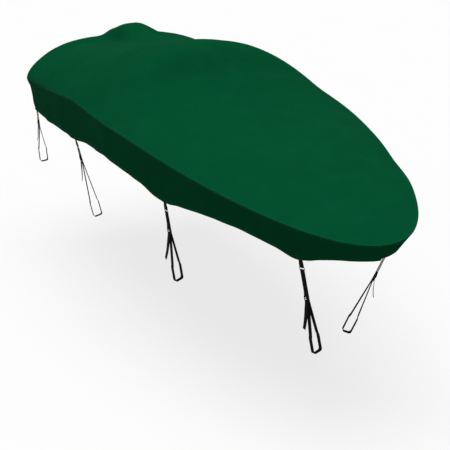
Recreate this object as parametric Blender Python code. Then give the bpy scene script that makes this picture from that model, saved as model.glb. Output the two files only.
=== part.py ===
"""A fitted boat cover: a crowned top panel, a skirt round the sides and bow, a transom panel and eight webbing tie-downs.

Metres, +Z up. The cover is laid out with X from the stern edge to the bow tip, Y to port and Z from the
gunwale line amidships; the empty "cover_frame" then puts the origin at the underside of the top panel, halfway along.
"""

import math
from collections import namedtuple

import bmesh
import bpy
from mathutils import Vector

for leftover in list(bpy.data.objects):
    bpy.data.objects.remove(leftover, do_unlink=True)

# ---------------------------------------------------------------- driving sizes
X_STERN, X_BOW = -0.060, 3.65  # stern edge and bow tip
HALF_BEAM = 0.743  # widest half breadth
HALF_TRANSOM = 0.720  # half breadth at the stern
X_BEAM = 1.387  # station of the widest point
BOW_SWEEP = 1.57  # how soon the bow starts to draw in
BOW_ROUND = 2.06  # roundness of the bow's tip
BULGE_X, BULGE_LONG, BULGE_OUT = 3.02, 0.13, 0.006  # the port bow is a little fuller than the starboard one
HOLLOW_X, HOLLOW_IN = 2.72, 0.010  # and a little hollower just aft of that
PORT_LOW = 0.005  # and the port gunwale line sits a little lower
PORT_HEM_X, PORT_HEM_LONG, PORT_HEM_RISE = 3.51, 0.075, 0.036  # where the port hem rises more than the starboard one
PORT_LEAN = 0.55  # and where its skirt is drawn in more
CORNER_RADIUS = 0.070  # stern corners, in plan
CLOTH = 0.002  # thickness of the coated cloth
SEAM_GAP = 0.0006  # between two panels at a seam
SPINE_AFT, SPINE_FORE = 0.42, 3.05  # ends of the line that the top panel's rings close on

WEBBING = 0.025  # webbing width
WEB_THICK = 0.0014
WIRE = 0.0018  # radius of the ring's wire
RING_WIDE, RING_HIGH, RING_BEND = 0.0320, 0.0150, 0.0028  # ring, between wire centres, and its corners' radius
TAB_SEWN = 0.034  # length of tab sewn behind the hem
BAR_HIGH = 0.100  # height of the loop's straight lower part
BUCKLE_WIDE, BUCKLE_THICK = 0.0350, 0.0030
BUCKLE_BARS = (0.0, 0.004, 0.0125, 0.0165, 0.025, 0.029)  # edges of its three cross bars, top to bottom

ORIGIN_X = (X_STERN + X_BOW) / 2

# ---------------------------------------------------------------- tables, a row for each section
# Gunwale line: height of the fold between top and skirt, and how far the skirt leans in for each metre it falls.
Fold = namedtuple("Fold", "x height lean")
FOLDS = (
    Fold(-0.06, -0.207, 0.16),
    Fold(0.44, -0.107, 0.16),
    Fold(0.85, -0.041, 0.16),
    Fold(1.10, -0.0115, 0.16),
    Fold(1.35, -0.004, 0.165),
    Fold(1.83, -0.007, 0.17),
    Fold(2.56, -0.042, 0.26),
    Fold(3.18, -0.083, 0.49),
    Fold(3.45, -0.105, 0.55),
    Fold(3.65, -0.124, 0.50),
)
# The top panel's edge: how far its widest line stands above the fold and outside it, and the radius over it.
Edge = namedtuple("Edge", "x drop inset radius")
EDGES = (
    Edge(-0.06, 0.056, 0.0240, 0.020),
    Edge(0.10, 0.035, 0.0140, 0.018),
    Edge(0.45, 0.013, 0.0036, 0.012),
    Edge(0.80, 0.003, 0.0006, 0.0065),
    Edge(2.20, 0.003, 0.0007, 0.006),
    Edge(2.80, 0.003, 0.0011, 0.006),
    Edge(3.40, 0.003, 0.0018, 0.006),
    Edge(3.65, 0.003, 0.0016, 0.006),
)
# Crown of the top panel above its edge, and how full the section is to starboard and to port
# (2 is a plain arch, more is boxier).
Crown = namedtuple("Crown", "x rise starboard port")
CROWNS = (
    Crown(-0.06, 0.222, 3.8, 2.6),
    Crown(0.15, 0.209, 4.0, 2.45),
    Crown(0.40, 0.231, 4.2, 2.2),
    Crown(0.75, 0.259, 3.3, 1.95),
    Crown(1.10, 0.305, 2.6, 2.08),
    Crown(1.35, 0.336, 2.5, 2.25),
    Crown(1.60, 0.200, 2.8, 2.7),
    Crown(2.00, 0.096, 3.1, 3.2),
    Crown(2.60, 0.075, 3.0, 3.1),
    Crown(3.20, 0.035, 2.8, 2.9),
    Crown(3.65, 0.000, 2.7, 2.8),
)
# The cloth's peak near the stern.
PEAK_X, PEAK_HIGH, PEAK_LONG, PEAK_WIDE = 0.186, 0.114, 0.168, 0.095
PEAK_BLUNT = 0.122  # its starboard half is blunter
# Depth of the skirt below the fold: it dips at each tie-down and rises between them.
Hem = namedtuple("Hem", "x depth")
HEM_SIDE = (
    Hem(-0.06, 0.160),
    Hem(0.17, 0.186),
    Hem(0.36, 0.219),
    Hem(0.70, 0.246),
    Hem(0.95, 0.268),
    Hem(1.20, 0.240),
    Hem(1.53, 0.224),
    Hem(1.99, 0.236),
    Hem(2.23, 0.267),
    Hem(2.40, 0.232),
    Hem(2.52, 0.213),
    Hem(2.64, 0.192),
    Hem(2.93, 0.173),
    Hem(3.14, 0.187),
    Hem(3.265, 0.218),
    Hem(3.35, 0.194),
    Hem(3.42, 0.162),
    Hem(3.53, 0.120),
    Hem(3.62, 0.096),
    Hem(3.65, 0.090),
)
# Transom hem: y from the middle, height of the hem.
HemStern = namedtuple("HemStern", "y height")
HEM_STERN = (HemStern(0.0, -0.318), HemStern(0.30, -0.330), HemStern(0.56, -0.356), HemStern(0.70, -0.364))

# Tie-downs. x: station of the tab along the edge. loop: where the bottom of the loop hangs, y outward from the
# middle. turn: the loop's bar in plan, in degrees from the X axis. bar: room in the loop. tab: visible length.
# buckle: drop from ring to buckle. tail: free length. sway: how far the tail's end drifts (along, out).
Tie = namedtuple("Tie", "name side x loop turn bar tab buckle tail sway")
TIES = (
    Tie("starboard_stern", -1, 0.055, (0.052, 0.640, -0.716), 0, 0.050, 0.032, 0.045, 0.09, (0.018, 0.016)),
    Tie("starboard_aft", -1, 0.955, (0.990, 0.575, -0.800), 0, 0.052, 0.044, 0.070, 0.13, (-0.030, 0.014)),
    Tie("starboard_mid", -1, 2.250, (2.208, 0.510, -0.776), 17, 0.052, 0.044, 0.105, 0.19, (-0.070, 0.020)),
    Tie("starboard_fore", -1, 3.292, (3.246, 0.158, -0.832), 17, 0.052, 0.044, 0.150, 0.17, (-0.036, 0.030)),
    Tie("port_stern", 1, 0.055, (0.050, 0.636, -0.712), 0, 0.050, 0.032, 0.050, 0.11, (0.022, 0.018)),
    Tie("port_aft", 1, 0.955, (1.005, 0.572, -0.802), 0, 0.052, 0.044, 0.078, 0.12, (-0.020, 0.018)),
    Tie("port_mid", 1, 2.250, (2.190, 0.512, -0.778), 17, 0.052, 0.044, 0.090, 0.16, (0.040, 0.022)),
    Tie("port_fore", 1, 3.292, (3.098, 0.088, -0.826), 17, 0.046, 0.044, 0.140, 0.10, (0.024, 0.018)),
)


# ---------------------------------------------------------------- small maths
def along(rows, column, x):
    """A smooth curve through one column of a table, with no overshoot between its rows."""
    xs = [row[0] for row in rows]
    ys = [row[column] for row in rows]
    gaps = [b - a for a, b in zip(xs, xs[1:])]
    rise = [(b - a) / g for a, b, g in zip(ys, ys[1:], gaps)]
    slopes = [rise[0]]
    for i in range(1, len(xs) - 1):
        if rise[i - 1] * rise[i] <= 0:
            slopes.append(0.0)
        else:
            w1, w2 = 2 * gaps[i] + gaps[i - 1], gaps[i] + 2 * gaps[i - 1]
            slopes.append((w1 + w2) / (w1 / rise[i - 1] + w2 / rise[i]))
    slopes.append(rise[-1])
    x = min(max(x, xs[0]), xs[-1])
    i = max(k for k in range(len(gaps)) if xs[k] <= x)
    t = (x - xs[i]) / gaps[i]
    return (
        (2 * t**3 - 3 * t**2 + 1) * ys[i]
        + (t**3 - 2 * t**2 + t) * gaps[i] * slopes[i]
        + (3 * t**2 - 2 * t**3) * ys[i + 1]
        + (t**3 - t**2) * gaps[i] * slopes[i + 1]
    )


def half_breadth(x):
    x = min(max(x, X_STERN), X_BOW)
    if x < X_BEAM:
        return HALF_BEAM - (HALF_BEAM - HALF_TRANSOM) * ((X_BEAM - x) / (X_BEAM - X_STERN)) ** 2
    s = ((x - X_BEAM) / (X_BOW - X_BEAM)) ** (BOW_SWEEP / 2)
    return HALF_BEAM * max(1 - s * s, 0.0) ** (1 / BOW_ROUND)


def bell(distance, width):
    return math.exp(-0.5 * (distance / width) ** 2)


def bulge(x):
    """What the port side adds to the half breadth."""
    return BULGE_OUT * bell(x - BULGE_X, BULGE_LONG) - HOLLOW_IN * bell(x - HOLLOW_X, BULGE_LONG)


def crown_height(x, y):
    """Height of the top panel's outer face, before its edge is rolled over."""
    x = min(max(x, X_STERN), X_BOW)
    b = max(half_breadth(x) + (bulge(x) if y > 0 else 0.0), 1e-4)
    u = min(abs(y) / b, 1.0)
    starboard, port = along(CROWNS, 2, x), along(CROWNS, 3, x)
    # The two sides meet in one arch at the middle.
    blend = min(u / 0.35, 1.0)
    full = (starboard if y < 0 else port) * blend + (1 - blend) * 0.5 * (starboard + port)
    inside = 1 - u**full
    beside = bell(y, PEAK_WIDE) if y > 0 else math.exp(-0.5 * abs(y / PEAK_BLUNT) ** 5)
    peak = PEAK_HIGH * bell(x - PEAK_X, PEAK_LONG) * beside
    edge = along(FOLDS, 1, x) + along(EDGES, 1, x) + along(EDGES, 3, x)
    if y > 0:
        edge -= PORT_LOW * u * u * min(max((x - 0.3) / 0.6, 0.0), 1.0) * min(max((X_BOW - x) / 0.5, 0.0), 1.0)
    return edge + (along(CROWNS, 1, x) + peak) * inside


FIRST_SIDE = 13  # first outline point past the stern corner


def outline():
    """Plan outline from the middle of the stern, along starboard to the bow tip, and back along port."""
    half = []
    straight = HALF_TRANSOM - CORNER_RADIUS
    for share in (0.0, 0.15, 0.30, 0.45, 0.59, 0.72, 0.84, 0.93):
        half.append((X_STERN, -straight * share))
    for k in range(5):
        a = math.pi / 2 * k / 4
        half.append((X_STERN + CORNER_RADIUS * (1 - math.cos(a)), -straight - CORNER_RADIUS * math.sin(a)))
    aft = X_STERN + CORNER_RADIUS
    fine = [aft + (X_BOW - aft) * (1 - (1 - k / 4000) ** 2) for k in range(4001)]
    run = [0.0]
    for a, b in zip(fine, fine[1:]):
        run.append(run[-1] + math.hypot(b - a, half_breadth(b) - half_breadth(a)))
    count, k = 35, 0
    for n in range(1, count + 1):
        want = run[-1] * (n / count + 0.05 * math.sin(math.pi * n / count))
        while k < len(run) - 1 and run[k] < want:
            k += 1
        half.append((fine[k], -half_breadth(fine[k])))
    # A point at each tie-down, where the hem dips.
    for x in sorted({tie.x for tie in TIES}):
        k = min(range(FIRST_SIDE, len(half)), key=lambda i: abs(half[i][0] - x))
        half[k] = (x, -half_breadth(x))
    return half + [(x, -y + bulge(x)) for x, y in reversed(half[1:-1])], len(half)


OUTLINE, HALF_COUNT = outline()
COUNT = len(OUTLINE)


def outline_at(k):
    """Point and outward direction, in plan, at a whole or broken place along the outline."""
    base = math.floor(k)
    t = k - base
    around = [OUTLINE[(base + i) % COUNT] for i in (-1, 0, 1, 2)]
    x = around[1][0] * (1 - t) + around[2][0] * t
    y = around[1][1] * (1 - t) + around[2][1] * t
    dx = (around[2][0] - around[0][0]) * (1 - t) + (around[3][0] - around[1][0]) * t
    dy = (around[2][1] - around[0][1]) * (1 - t) + (around[3][1] - around[1][1]) * t
    size = math.hypot(dx, dy)
    return x, y, dy / size, -dx / size


def side_point_at(x):
    """The starboard outline point at a tie-down's station."""
    return min(range(FIRST_SIDE, HALF_COUNT), key=lambda k: abs(OUTLINE[k][0] - x))


def edge_radius(x):
    return along(EDGES, 3, x)


def wide_height(k):
    """Height of the edge's widest line, where its radius ends."""
    x, y, _, _ = outline_at(k)
    return crown_height(x, y) - edge_radius(x)


def fold_point(k):
    """Where the top panel ends and the skirt starts."""
    x, y, nx, ny = outline_at(k)
    inset = along(EDGES, 2, x)
    return Vector((x - nx * inset, y - ny * inset, wide_height(k) - along(EDGES, 1, x)))


def hem_height(k):
    x, y, _, _ = outline_at(k)
    side = along(FOLDS, 1, x) - along(HEM_SIDE, 1, x)
    if y > 0:
        side += PORT_HEM_RISE * bell(x - PORT_HEM_X, PORT_HEM_LONG)
    stern = along(HEM_STERN, 1, abs(y))
    t = min((x - X_STERN) / CORNER_RADIUS, 1.0)
    return stern + (side - stern) * t * t * (3 - 2 * t)


def skirt_point(k, height):
    """Outer face of the skirt at one height under the fold. Across the stern it hangs straighter."""
    fold = fold_point(k)
    x, y, nx, ny = outline_at(k)
    fall = max(fold.z - height, 0.0)
    lean = along(FOLDS, 2, x)
    if y > 0:
        lean *= 1 + PORT_LEAN * bell(x - PORT_HEM_X, 1.4 * PORT_HEM_LONG)
    if x < X_STERN + CORNER_RADIUS:
        lean *= 0.4 + 0.6 * min(abs(y) / (HALF_TRANSOM - CORNER_RADIUS), 1.0) ** 3
    inset = lean * fall
    return Vector((fold.x - nx * inset, fold.y - ny * inset, height))


# ---------------------------------------------------------------- materials
def plain(name, colour, rough, metal=0.0):
    material = bpy.data.materials.new(name)
    material.use_nodes = True
    shader = material.node_tree.nodes["Principled BSDF"]
    shader.inputs["Base Color"].default_value = (*colour, 1.0)
    shader.inputs["Roughness"].default_value = rough
    shader.inputs["Metallic"].default_value = metal
    return material


GREEN = plain("green_cloth", (0.006, 0.080, 0.028), 0.85)
BLACK_WEB = plain("black_webbing", (0.012, 0.013, 0.014), 0.80)
BLACK_PLASTIC = plain("black_plastic", (0.014, 0.014, 0.015), 0.45)
STEEL = plain("steel_wire", (0.60, 0.61, 0.62), 0.30, 1.0)

frame = bpy.data.objects.new("cover_frame", None)
bpy.context.collection.objects.link(frame)
frame.location = (-ORIGIN_X, 0.0, -(crown_height(ORIGIN_X, 0.0) - CLOTH))


def add(name, points, faces, material, smooth=True, closed=True):
    mesh = bpy.data.meshes.new(name)
    mesh.from_pydata([tuple(p) for p in points], [], faces)
    mesh.materials.append(material)
    if closed:
        body = bmesh.new()
        body.from_mesh(mesh)
        bmesh.ops.recalc_face_normals(body, faces=body.faces)
        body.to_mesh(mesh)
        body.free()
    if smooth:
        mesh.shade_smooth()
        mesh.set_sharp_from_angle(angle=math.radians(40))
    obj = bpy.data.objects.new(name, mesh)
    bpy.context.collection.objects.link(obj)
    obj.parent = frame
    return obj


def thicken(obj, thickness):
    """Gives a sheet its thickness on the inner side, with a closed rim."""
    sheet = obj.modifiers.new("cloth_thickness", "SOLIDIFY")
    sheet.thickness = thickness
    sheet.offset = -1.0
    sheet.use_even_offset = True
    sheet.use_rim = True


# ---------------------------------------------------------------- top panel
ROLL_STEPS = (1.0, 0.40, 0.0)  # distance in from the widest line, in edge radii
RINGS = (0.0, 0.24, 0.46, 0.65, 0.81, 0.93)  # rings between the spine and the edge


def spine_x(k):
    return SPINE_AFT + (SPINE_FORE - SPINE_AFT) * (OUTLINE[k][0] - X_STERN) / (X_BOW - X_STERN)


def top_panel():
    points, index = [], {}

    def put(key, point):
        index[key] = len(points)
        points.append(point)

    for k in range(COUNT):
        x, y, nx, ny = outline_at(k)
        r = edge_radius(x)
        ax, ay = x - nx * r, y - ny * r
        for ring, rho in enumerate(RINGS):
            px = spine_x(k) + rho * (ax - spine_x(k))
            py = rho * ay
            if ring == 0:
                # Starboard and port share the spine's points, and the whole stern shares its aft end.
                if x < X_STERN + 1e-6 and k != 0:
                    index[(k, 0)] = index[(0, 0)]
                    continue
                if k >= HALF_COUNT:
                    index[(k, 0)] = index[(2 * (HALF_COUNT - 1) - k, 0)]
                    continue
            put((k, ring), (px, py, crown_height(px, py)))
        for step, share in enumerate(ROLL_STEPS):
            e = share * r
            px, py = x - nx * e, y - ny * e
            drop = r - math.sqrt(max(r * r - (r - e) ** 2, 0.0))
            put((k, len(RINGS) + step), (px, py, crown_height(px, py) - drop))
        put((k, len(RINGS) + len(ROLL_STEPS)), fold_point(k))
    rows = len(RINGS) + len(ROLL_STEPS) + 1
    faces = []
    for k in range(COUNT):
        n = (k + 1) % COUNT
        for row in range(rows - 1):
            loop = [index[(k, row)], index[(k, row + 1)], index[(n, row + 1)], index[(n, row)]]
            loop = [v for i, v in enumerate(loop) if v != loop[i - 1]]
            if len(loop) > 2:
                faces.append(loop)
    return add("top_panel", points, faces, GREEN, closed=False)


# ---------------------------------------------------------------- skirt and transom panel
SKIRT_ROWS = (0.0, 0.30, 0.65, 1.0)
# The skirt's two ends meet the transom panel inside each stern corner.
CORNER_SEAM = 9.5
SEAM_SHARE = 0.026


def column(k):
    """The skirt's points from fold to hem at one place along the outline."""
    base = math.floor(k)
    if k > base:
        return [a.lerp(b, k - base) for a, b in zip(column(base), column(base + 1))]
    k = base % COUNT
    top, low = fold_point(k).z - SEAM_GAP, hem_height(k)
    return [skirt_point(k, top + (low - top) * share) for share in SKIRT_ROWS]


def strip(name, first, last):
    """A hanging strip between the fold and the hem, over part of the outline."""
    places = [first] + list(range(math.floor(first) + 1, math.ceil(last))) + [last]
    points = [point for k in places for point in column(k)]
    rows = len(SKIRT_ROWS)
    faces = []
    for n in range(len(places) - 1):
        for row in range(rows - 1):
            a = n * rows + row
            faces.append((a, a + 1, a + rows + 1, a + rows))
    return add(name, points, faces, GREEN, closed=False)


# ---------------------------------------------------------------- webbing
def sweep_band(points, widths, width, thickness):
    """Outline of a flat band that follows points; widths holds the band's width direction at each one."""
    verts, faces = [], []
    last = len(points) - 1
    for i, point in enumerate(points):
        a, b = points[max(i - 1, 0)], points[min(i + 1, last)]
        if 0 < i < last:
            before, after = (point - a).normalized(), (b - point).normalized()
            tangent = (before + after).normalized()
            stretch = 1 / max(tangent.dot(after), 0.5)
        else:
            tangent, stretch = (b - a).normalized(), 1.0
        wide = (widths[i] - tangent * widths[i].dot(tangent)).normalized()
        thick = tangent.cross(wide) * (thickness / 2 * stretch)
        wide = wide * (width / 2)
        for sx, sy in ((-1, -1), (1, -1), (1, 1), (-1, 1)):
            verts.append(point + wide * sx + thick * sy)
    for i in range(last):
        for j in range(4):
            a, b = i * 4 + j, i * 4 + (j + 1) % 4
            faces.append((a, a + 4, b + 4, b))
    faces.append((0, 1, 2, 3))
    faces.append(tuple(last * 4 + j for j in (3, 2, 1, 0)))
    return verts, faces


def band(name, points, widths, material=None):
    verts, faces = sweep_band(points, widths, WEBBING, WEB_THICK)
    return add(name, verts, faces, material or BLACK_WEB)


def rounded_ring(name, centre, across, down, wide, high, radius, material):
    """A closed wire ring: a rounded rectangle of the given size between wire centres."""
    corner = RING_BEND
    path = []
    for sx, sy, start in ((1, -1, 0), (1, 1, 90), (-1, 1, 180), (-1, -1, 270)):
        cx, cy = sx * (wide / 2 - corner), sy * (high / 2 - corner)
        for a in (start - 90 + 15, start - 90 + 75):
            t = math.radians(a + 0)
            path.append((cx + corner * math.cos(t), cy + corner * math.sin(t)))
    normal = across.cross(down).normalized()
    verts, faces, sides, count = [], [], 6, len(path)
    for i, (u, v) in enumerate(path):
        here = centre + across * u + down * v
        pu, pv = path[i - 1]
        nu, nv = path[(i + 1) % count]
        tangent = (across * (nu - pu) + down * (nv - pv)).normalized()
        side = tangent.cross(normal).normalized()
        for s in range(sides):
            a = 2 * math.pi * (s + 0.5) / sides
            verts.append(here + side * (radius * math.cos(a)) + normal * (radius * math.sin(a)))
    for i in range(count):
        n = (i + 1) % count
        for s in range(sides):
            t = (s + 1) % sides
            faces.append((i * sides + s, i * sides + t, n * sides + t, n * sides + s))
    return add(name, verts, faces, material)


def ladder_buckle(name, centre, across, down, out, material):
    """A flat frame with three cross bars and two windows."""
    outer, inner = BUCKLE_WIDE / 2, BUCKLE_WIDE / 2 - 0.0035
    us = (-outer, -inner, inner, outer)
    verts, faces = [], []
    for layer in (-0.5, 0.5):
        for v in BUCKLE_BARS:
            for u in us:
                verts.append(centre + across * u + down * v + out * (layer * BUCKLE_THICK))
    per = len(us) * len(BUCKLE_BARS)

    def at(layer, row, col):
        return layer * per + row * len(us) + col

    solid = {(r, c) for r in range(5) for c in range(3)} - {(1, 1), (3, 1)}
    for r, c in solid:
        faces.append((at(1, r, c), at(1, r + 1, c), at(1, r + 1, c + 1), at(1, r, c + 1)))
        faces.append((at(0, r, c), at(0, r, c + 1), at(0, r + 1, c + 1), at(0, r + 1, c)))
        if (r - 1, c) not in solid:
            faces.append((at(0, r, c), at(1, r, c), at(1, r, c + 1), at(0, r, c + 1)))
        if (r + 1, c) not in solid:
            faces.append((at(0, r + 1, c), at(0, r + 1, c + 1), at(1, r + 1, c + 1), at(1, r + 1, c)))
        if (r, c - 1) not in solid:
            faces.append((at(0, r, c), at(0, r + 1, c), at(1, r + 1, c), at(1, r, c)))
        if (r, c + 1) not in solid:
            faces.append((at(0, r, c + 1), at(1, r, c + 1), at(1, r + 1, c + 1), at(0, r + 1, c + 1)))
    obj = add(name, verts, faces, material, smooth=False)
    return obj


def half_turn(centre, radius, start, end, count):
    """Points of an arc in (down, out) coordinates, angles in degrees from straight down towards out."""
    return [
        (
            centre[0] + radius * math.cos(math.radians(start + (end - start) * i / count)),
            centre[1] + radius * math.sin(math.radians(start + (end - start) * i / count)),
        )
        for i in range(count + 1)
    ]


def tie_down(tie):
    # Where the tab leaves the hem.
    near = side_point_at(tie.x)
    if tie.side > 0:
        near = COUNT - near
    before, hem, after = (skirt_point(k, hem_height(k)).xy for k in (near - 1, near, near + 1))
    run_in, run_out = (hem - before).normalized(), (after - hem).normalized()
    bend = run_in.angle(run_out) / 2
    nx, ny = (run_in + run_out).normalized().yx * Vector((1.0, -1.0))
    out = Vector((nx, ny, 0.0))
    hem = skirt_point(near, hem_height(near))
    above = skirt_point(near, hem_height(near) + TAB_SEWN)
    slope = (hem - above).normalized()
    inward = slope.cross(Vector((-ny, nx, 0.0))).normalized()
    if inward.dot(out) > 0:
        inward = -inward
    bottom = Vector((tie.loop[0], tie.side * tie.loop[1], tie.loop[2]))
    tangent = Vector((-ny, nx, 0.0))
    if tangent.x < 0:
        tangent = -tangent
    # Direction of the loop's bar in plan, drawing in to the middle as it goes forward.
    turn = math.radians(tie.turn)
    bar_along = Vector((math.cos(turn), -tie.side * math.sin(turn), 0.0))

    # The webbing's plane just behind the hem, and the line that the strap takes from there.
    layer = WEB_THICK / 2 + 0.0004
    tuck = CLOTH + 0.0012 + WEB_THICK / 2 + WEBBING / 2 * math.tan(bend)
    start = hem + inward * (tuck + layer)
    down = (bottom - start).normalized()
    reach = (bottom - start).length

    def frame_at(q):
        """Point on the line at a distance q below the hem, with the out and width directions there."""
        t = min(max(q / reach, 0.0), 1.0)
        wide = (tangent * (1 - t) + bar_along * t).normalized()
        wide = (wide - down * wide.dot(down)).normalized()
        side = wide.cross(down).normalized()
        if side.dot(out) < 0:
            side = -side
        return start + down * q, side, wide

    def place(flat):
        points, widths = [], []
        for q, p in flat:
            point, side, wide = frame_at(q)
            points.append(point + side * p)
            widths.append(wide)
        return points, widths

    lap = WIRE + WEB_THICK / 2 + 0.0006  # half turn of webbing round the wire
    upper, lower = tie.tab, tie.tab + RING_HIGH

    # Tab: down inside the hem, round the ring's upper wire and up again behind itself.
    flat = [(0.006, layer), (upper - 0.020, lap)]
    flat += half_turn((upper, 0.0), lap, 90, -90, 5)
    flat += [(upper - 0.020, -lap), (0.006, -layer)]
    points, widths = place(flat)
    _, _, wide0 = frame_at(0.0)
    outer_line = [above + inward * tuck, hem - slope * 0.002 + inward * tuck]
    inner_line = [p + inward * (2 * layer) for p in outer_line]
    points = outer_line + points + inner_line[::-1]
    widths = [wide0] * 2 + widths + [wide0] * 2
    band("tab_" + tie.name, points, widths)

    # Ring, in the plane of the webbing.
    here, side, wide = frame_at(upper + RING_HIGH / 2)
    rounded_ring("ring_" + tie.name, here, wide, down, RING_WIDE, RING_HIGH, WIRE, STEEL)

    # Buckle, with its top bar at the given drop below the ring.
    bars = BUCKLE_BARS
    buckle_q = lower + tie.buckle
    buckle_p = 0.0046
    here, side, wide = frame_at(buckle_q)
    ladder_buckle("buckle_" + tie.name, here + side * buckle_p, wide, down, side, BLACK_PLASTIC)

    # Strap: sewn round the buckle's top bar, up through the ring, down behind, round the bar's place and
    # up to the buckle, over its lower bar, and down again as the free tail.
    grip = BUCKLE_THICK / 2 + WEB_THICK / 2 + 0.0006
    top_bar = buckle_q + (bars[0] + bars[1]) / 2
    low_bar = buckle_q + (bars[4] + bars[5]) / 2
    spread = tie.bar / 2 + WEB_THICK
    turn_in = 0.010
    flat = [(top_bar - 0.026, 0.0008), (top_bar - 0.010, buckle_p - grip + 0.0002)]
    flat += half_turn((top_bar, buckle_p), grip + 0.0012, -90, 90, 4)[1:-1]
    flat += [(top_bar - 0.008, buckle_p + grip), (top_bar - 0.030, buckle_p - 0.0004)]
    flat += half_turn((lower, 0.0), lap, 90, 270, 5)
    back = -0.0026
    flat += [(lower + 0.012, back - 0.0002), (buckle_q - 0.006, back), (low_bar + 0.006, back - 0.0008)]
    flat += [
        (reach - BAR_HIGH - 0.006, -spread + 0.004),
        (reach - BAR_HIGH + 0.006, -spread),
        (reach - turn_in, -spread),
        (reach - turn_in * 0.3, -spread + turn_in * 0.3),
        (reach, -spread + turn_in),
        (reach, spread - turn_in),
        (reach - turn_in * 0.3, spread - turn_in * 0.3),
        (reach - turn_in, spread),
        (reach - BAR_HIGH + 0.006, spread),
        (reach - BAR_HIGH - 0.006, spread - 0.004),
    ]
    flat += [(low_bar + 0.014, 0.0020)]
    flat += half_turn((low_bar, buckle_p), grip + 0.0010, 262, 90, 4)
    points, widths = place(flat)
    # The tail hangs by its own weight and drifts off to one side.
    root = points[-1]
    _, side, wide = frame_at(low_bar)
    drift = Vector((tie.sway[0], 0.0, 0.0)) + out * tie.sway[1]
    for n in range(1, 5):
        t = n / 4
        point = root + down * (tie.tail * t * 0.97) + drift * t**1.4 + side * (0.0022 * min(t * 4, 1.0))
        points.append(point)
        widths.append(wide)
    band("strap_" + tie.name, points, widths)


# ---------------------------------------------------------------- build
top = top_panel()
skirt = strip("side_skirt", CORNER_SEAM + SEAM_SHARE, COUNT - CORNER_SEAM - SEAM_SHARE)
transom = strip("transom_panel", COUNT - CORNER_SEAM + SEAM_SHARE, COUNT + CORNER_SEAM - SEAM_SHARE)
for sheet in (top, skirt, transom):
    thicken(sheet, CLOTH)
for tie in TIES:
    tie_down(tie)
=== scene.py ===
"""Looks of a fitted boat cover: woven cloth panels with felled, topstitched seams, and webbing tie-downs.

The shape functions and tables repeat the CAD's: laid out with X from the stern edge to the bow tip, Y to port and Z from
the gunwale line amidships, in metres. SHIFT moves that layout into the row frame.
"""

import math

import bmesh
import bpy
import numpy as np
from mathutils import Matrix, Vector


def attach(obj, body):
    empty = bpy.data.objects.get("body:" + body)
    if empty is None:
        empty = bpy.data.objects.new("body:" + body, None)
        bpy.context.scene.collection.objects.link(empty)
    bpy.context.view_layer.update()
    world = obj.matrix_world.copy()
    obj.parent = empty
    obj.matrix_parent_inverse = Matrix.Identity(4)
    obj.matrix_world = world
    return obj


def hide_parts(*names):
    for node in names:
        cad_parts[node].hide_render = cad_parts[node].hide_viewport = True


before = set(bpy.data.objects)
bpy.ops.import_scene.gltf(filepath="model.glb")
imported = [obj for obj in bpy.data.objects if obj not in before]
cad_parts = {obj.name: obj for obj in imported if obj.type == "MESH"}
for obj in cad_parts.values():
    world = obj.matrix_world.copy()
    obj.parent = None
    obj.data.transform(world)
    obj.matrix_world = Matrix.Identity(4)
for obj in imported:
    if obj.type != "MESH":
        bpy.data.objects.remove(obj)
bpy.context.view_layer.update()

# ---------------------------------------------------------------- sizes, as in the CAD
X_STERN, X_BOW = -0.060, 3.65
HALF_BEAM = 0.743
HALF_TRANSOM = 0.720
X_BEAM = 1.387
BOW_SWEEP = 1.57
BOW_ROUND = 2.06
BULGE_X, BULGE_LONG, BULGE_OUT = 3.02, 0.13, 0.006
HOLLOW_X, HOLLOW_IN = 2.72, 0.010
PORT_LOW = 0.005
PORT_HEM_X, PORT_HEM_LONG, PORT_HEM_RISE = 3.51, 0.075, 0.036
PORT_LEAN = 0.55
CORNER_RADIUS = 0.070
CLOTH = 0.002
SPINE_AFT, SPINE_FORE = 0.42, 3.05
WEBBING = 0.025
WEB_THICK = 0.0014
WIRE = 0.0018
RING_WIDE, RING_HIGH, RING_BEND = 0.0320, 0.0150, 0.0028
TAB_SEWN = 0.034
BAR_HIGH = 0.100
BUCKLE_WIDE, BUCKLE_THICK = 0.0350, 0.0030
BUCKLE_BARS = (0.0, 0.004, 0.0125, 0.0165, 0.025, 0.029)
PEAK_X, PEAK_HIGH, PEAK_LONG, PEAK_WIDE = 0.186, 0.114, 0.168, 0.095
PEAK_BLUNT = 0.122

# Sizes that only the looks need.
STEP = 0.012  # column spacing round the cover
TOP_CLOTH = 0.0012  # the cloth itself; the CAD's 2 mm also covers its folds
FELLED = 0.0125  # width of the felled seam above the fold
HEM_WIDE = 0.024  # width of the turned hem
HEM_SEW = 0.0185  # its stitching, above the hem's edge
STITCH_PITCH, STITCH_LONG, STITCH_RADIUS = 0.0048, 0.0037, 0.00045

# ---------------------------------------------------------------- tables, as in the CAD
# x, height, lean
FOLDS = (
    (-0.06, -0.207, 0.16),
    (0.44, -0.107, 0.16),
    (0.85, -0.041, 0.16),
    (1.10, -0.0115, 0.16),
    (1.35, -0.004, 0.165),
    (1.83, -0.007, 0.17),
    (2.56, -0.042, 0.26),
    (3.18, -0.083, 0.49),
    (3.45, -0.105, 0.55),
    (3.65, -0.124, 0.50),
)
# x, drop, inset, radius
EDGES = (
    (-0.06, 0.056, 0.0240, 0.020),
    (0.10, 0.035, 0.0140, 0.018),
    (0.45, 0.013, 0.0036, 0.012),
    (0.80, 0.003, 0.0006, 0.0065),
    (2.20, 0.003, 0.0007, 0.006),
    (2.80, 0.003, 0.0011, 0.006),
    (3.40, 0.003, 0.0018, 0.006),
    (3.65, 0.003, 0.0016, 0.006),
)
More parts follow.
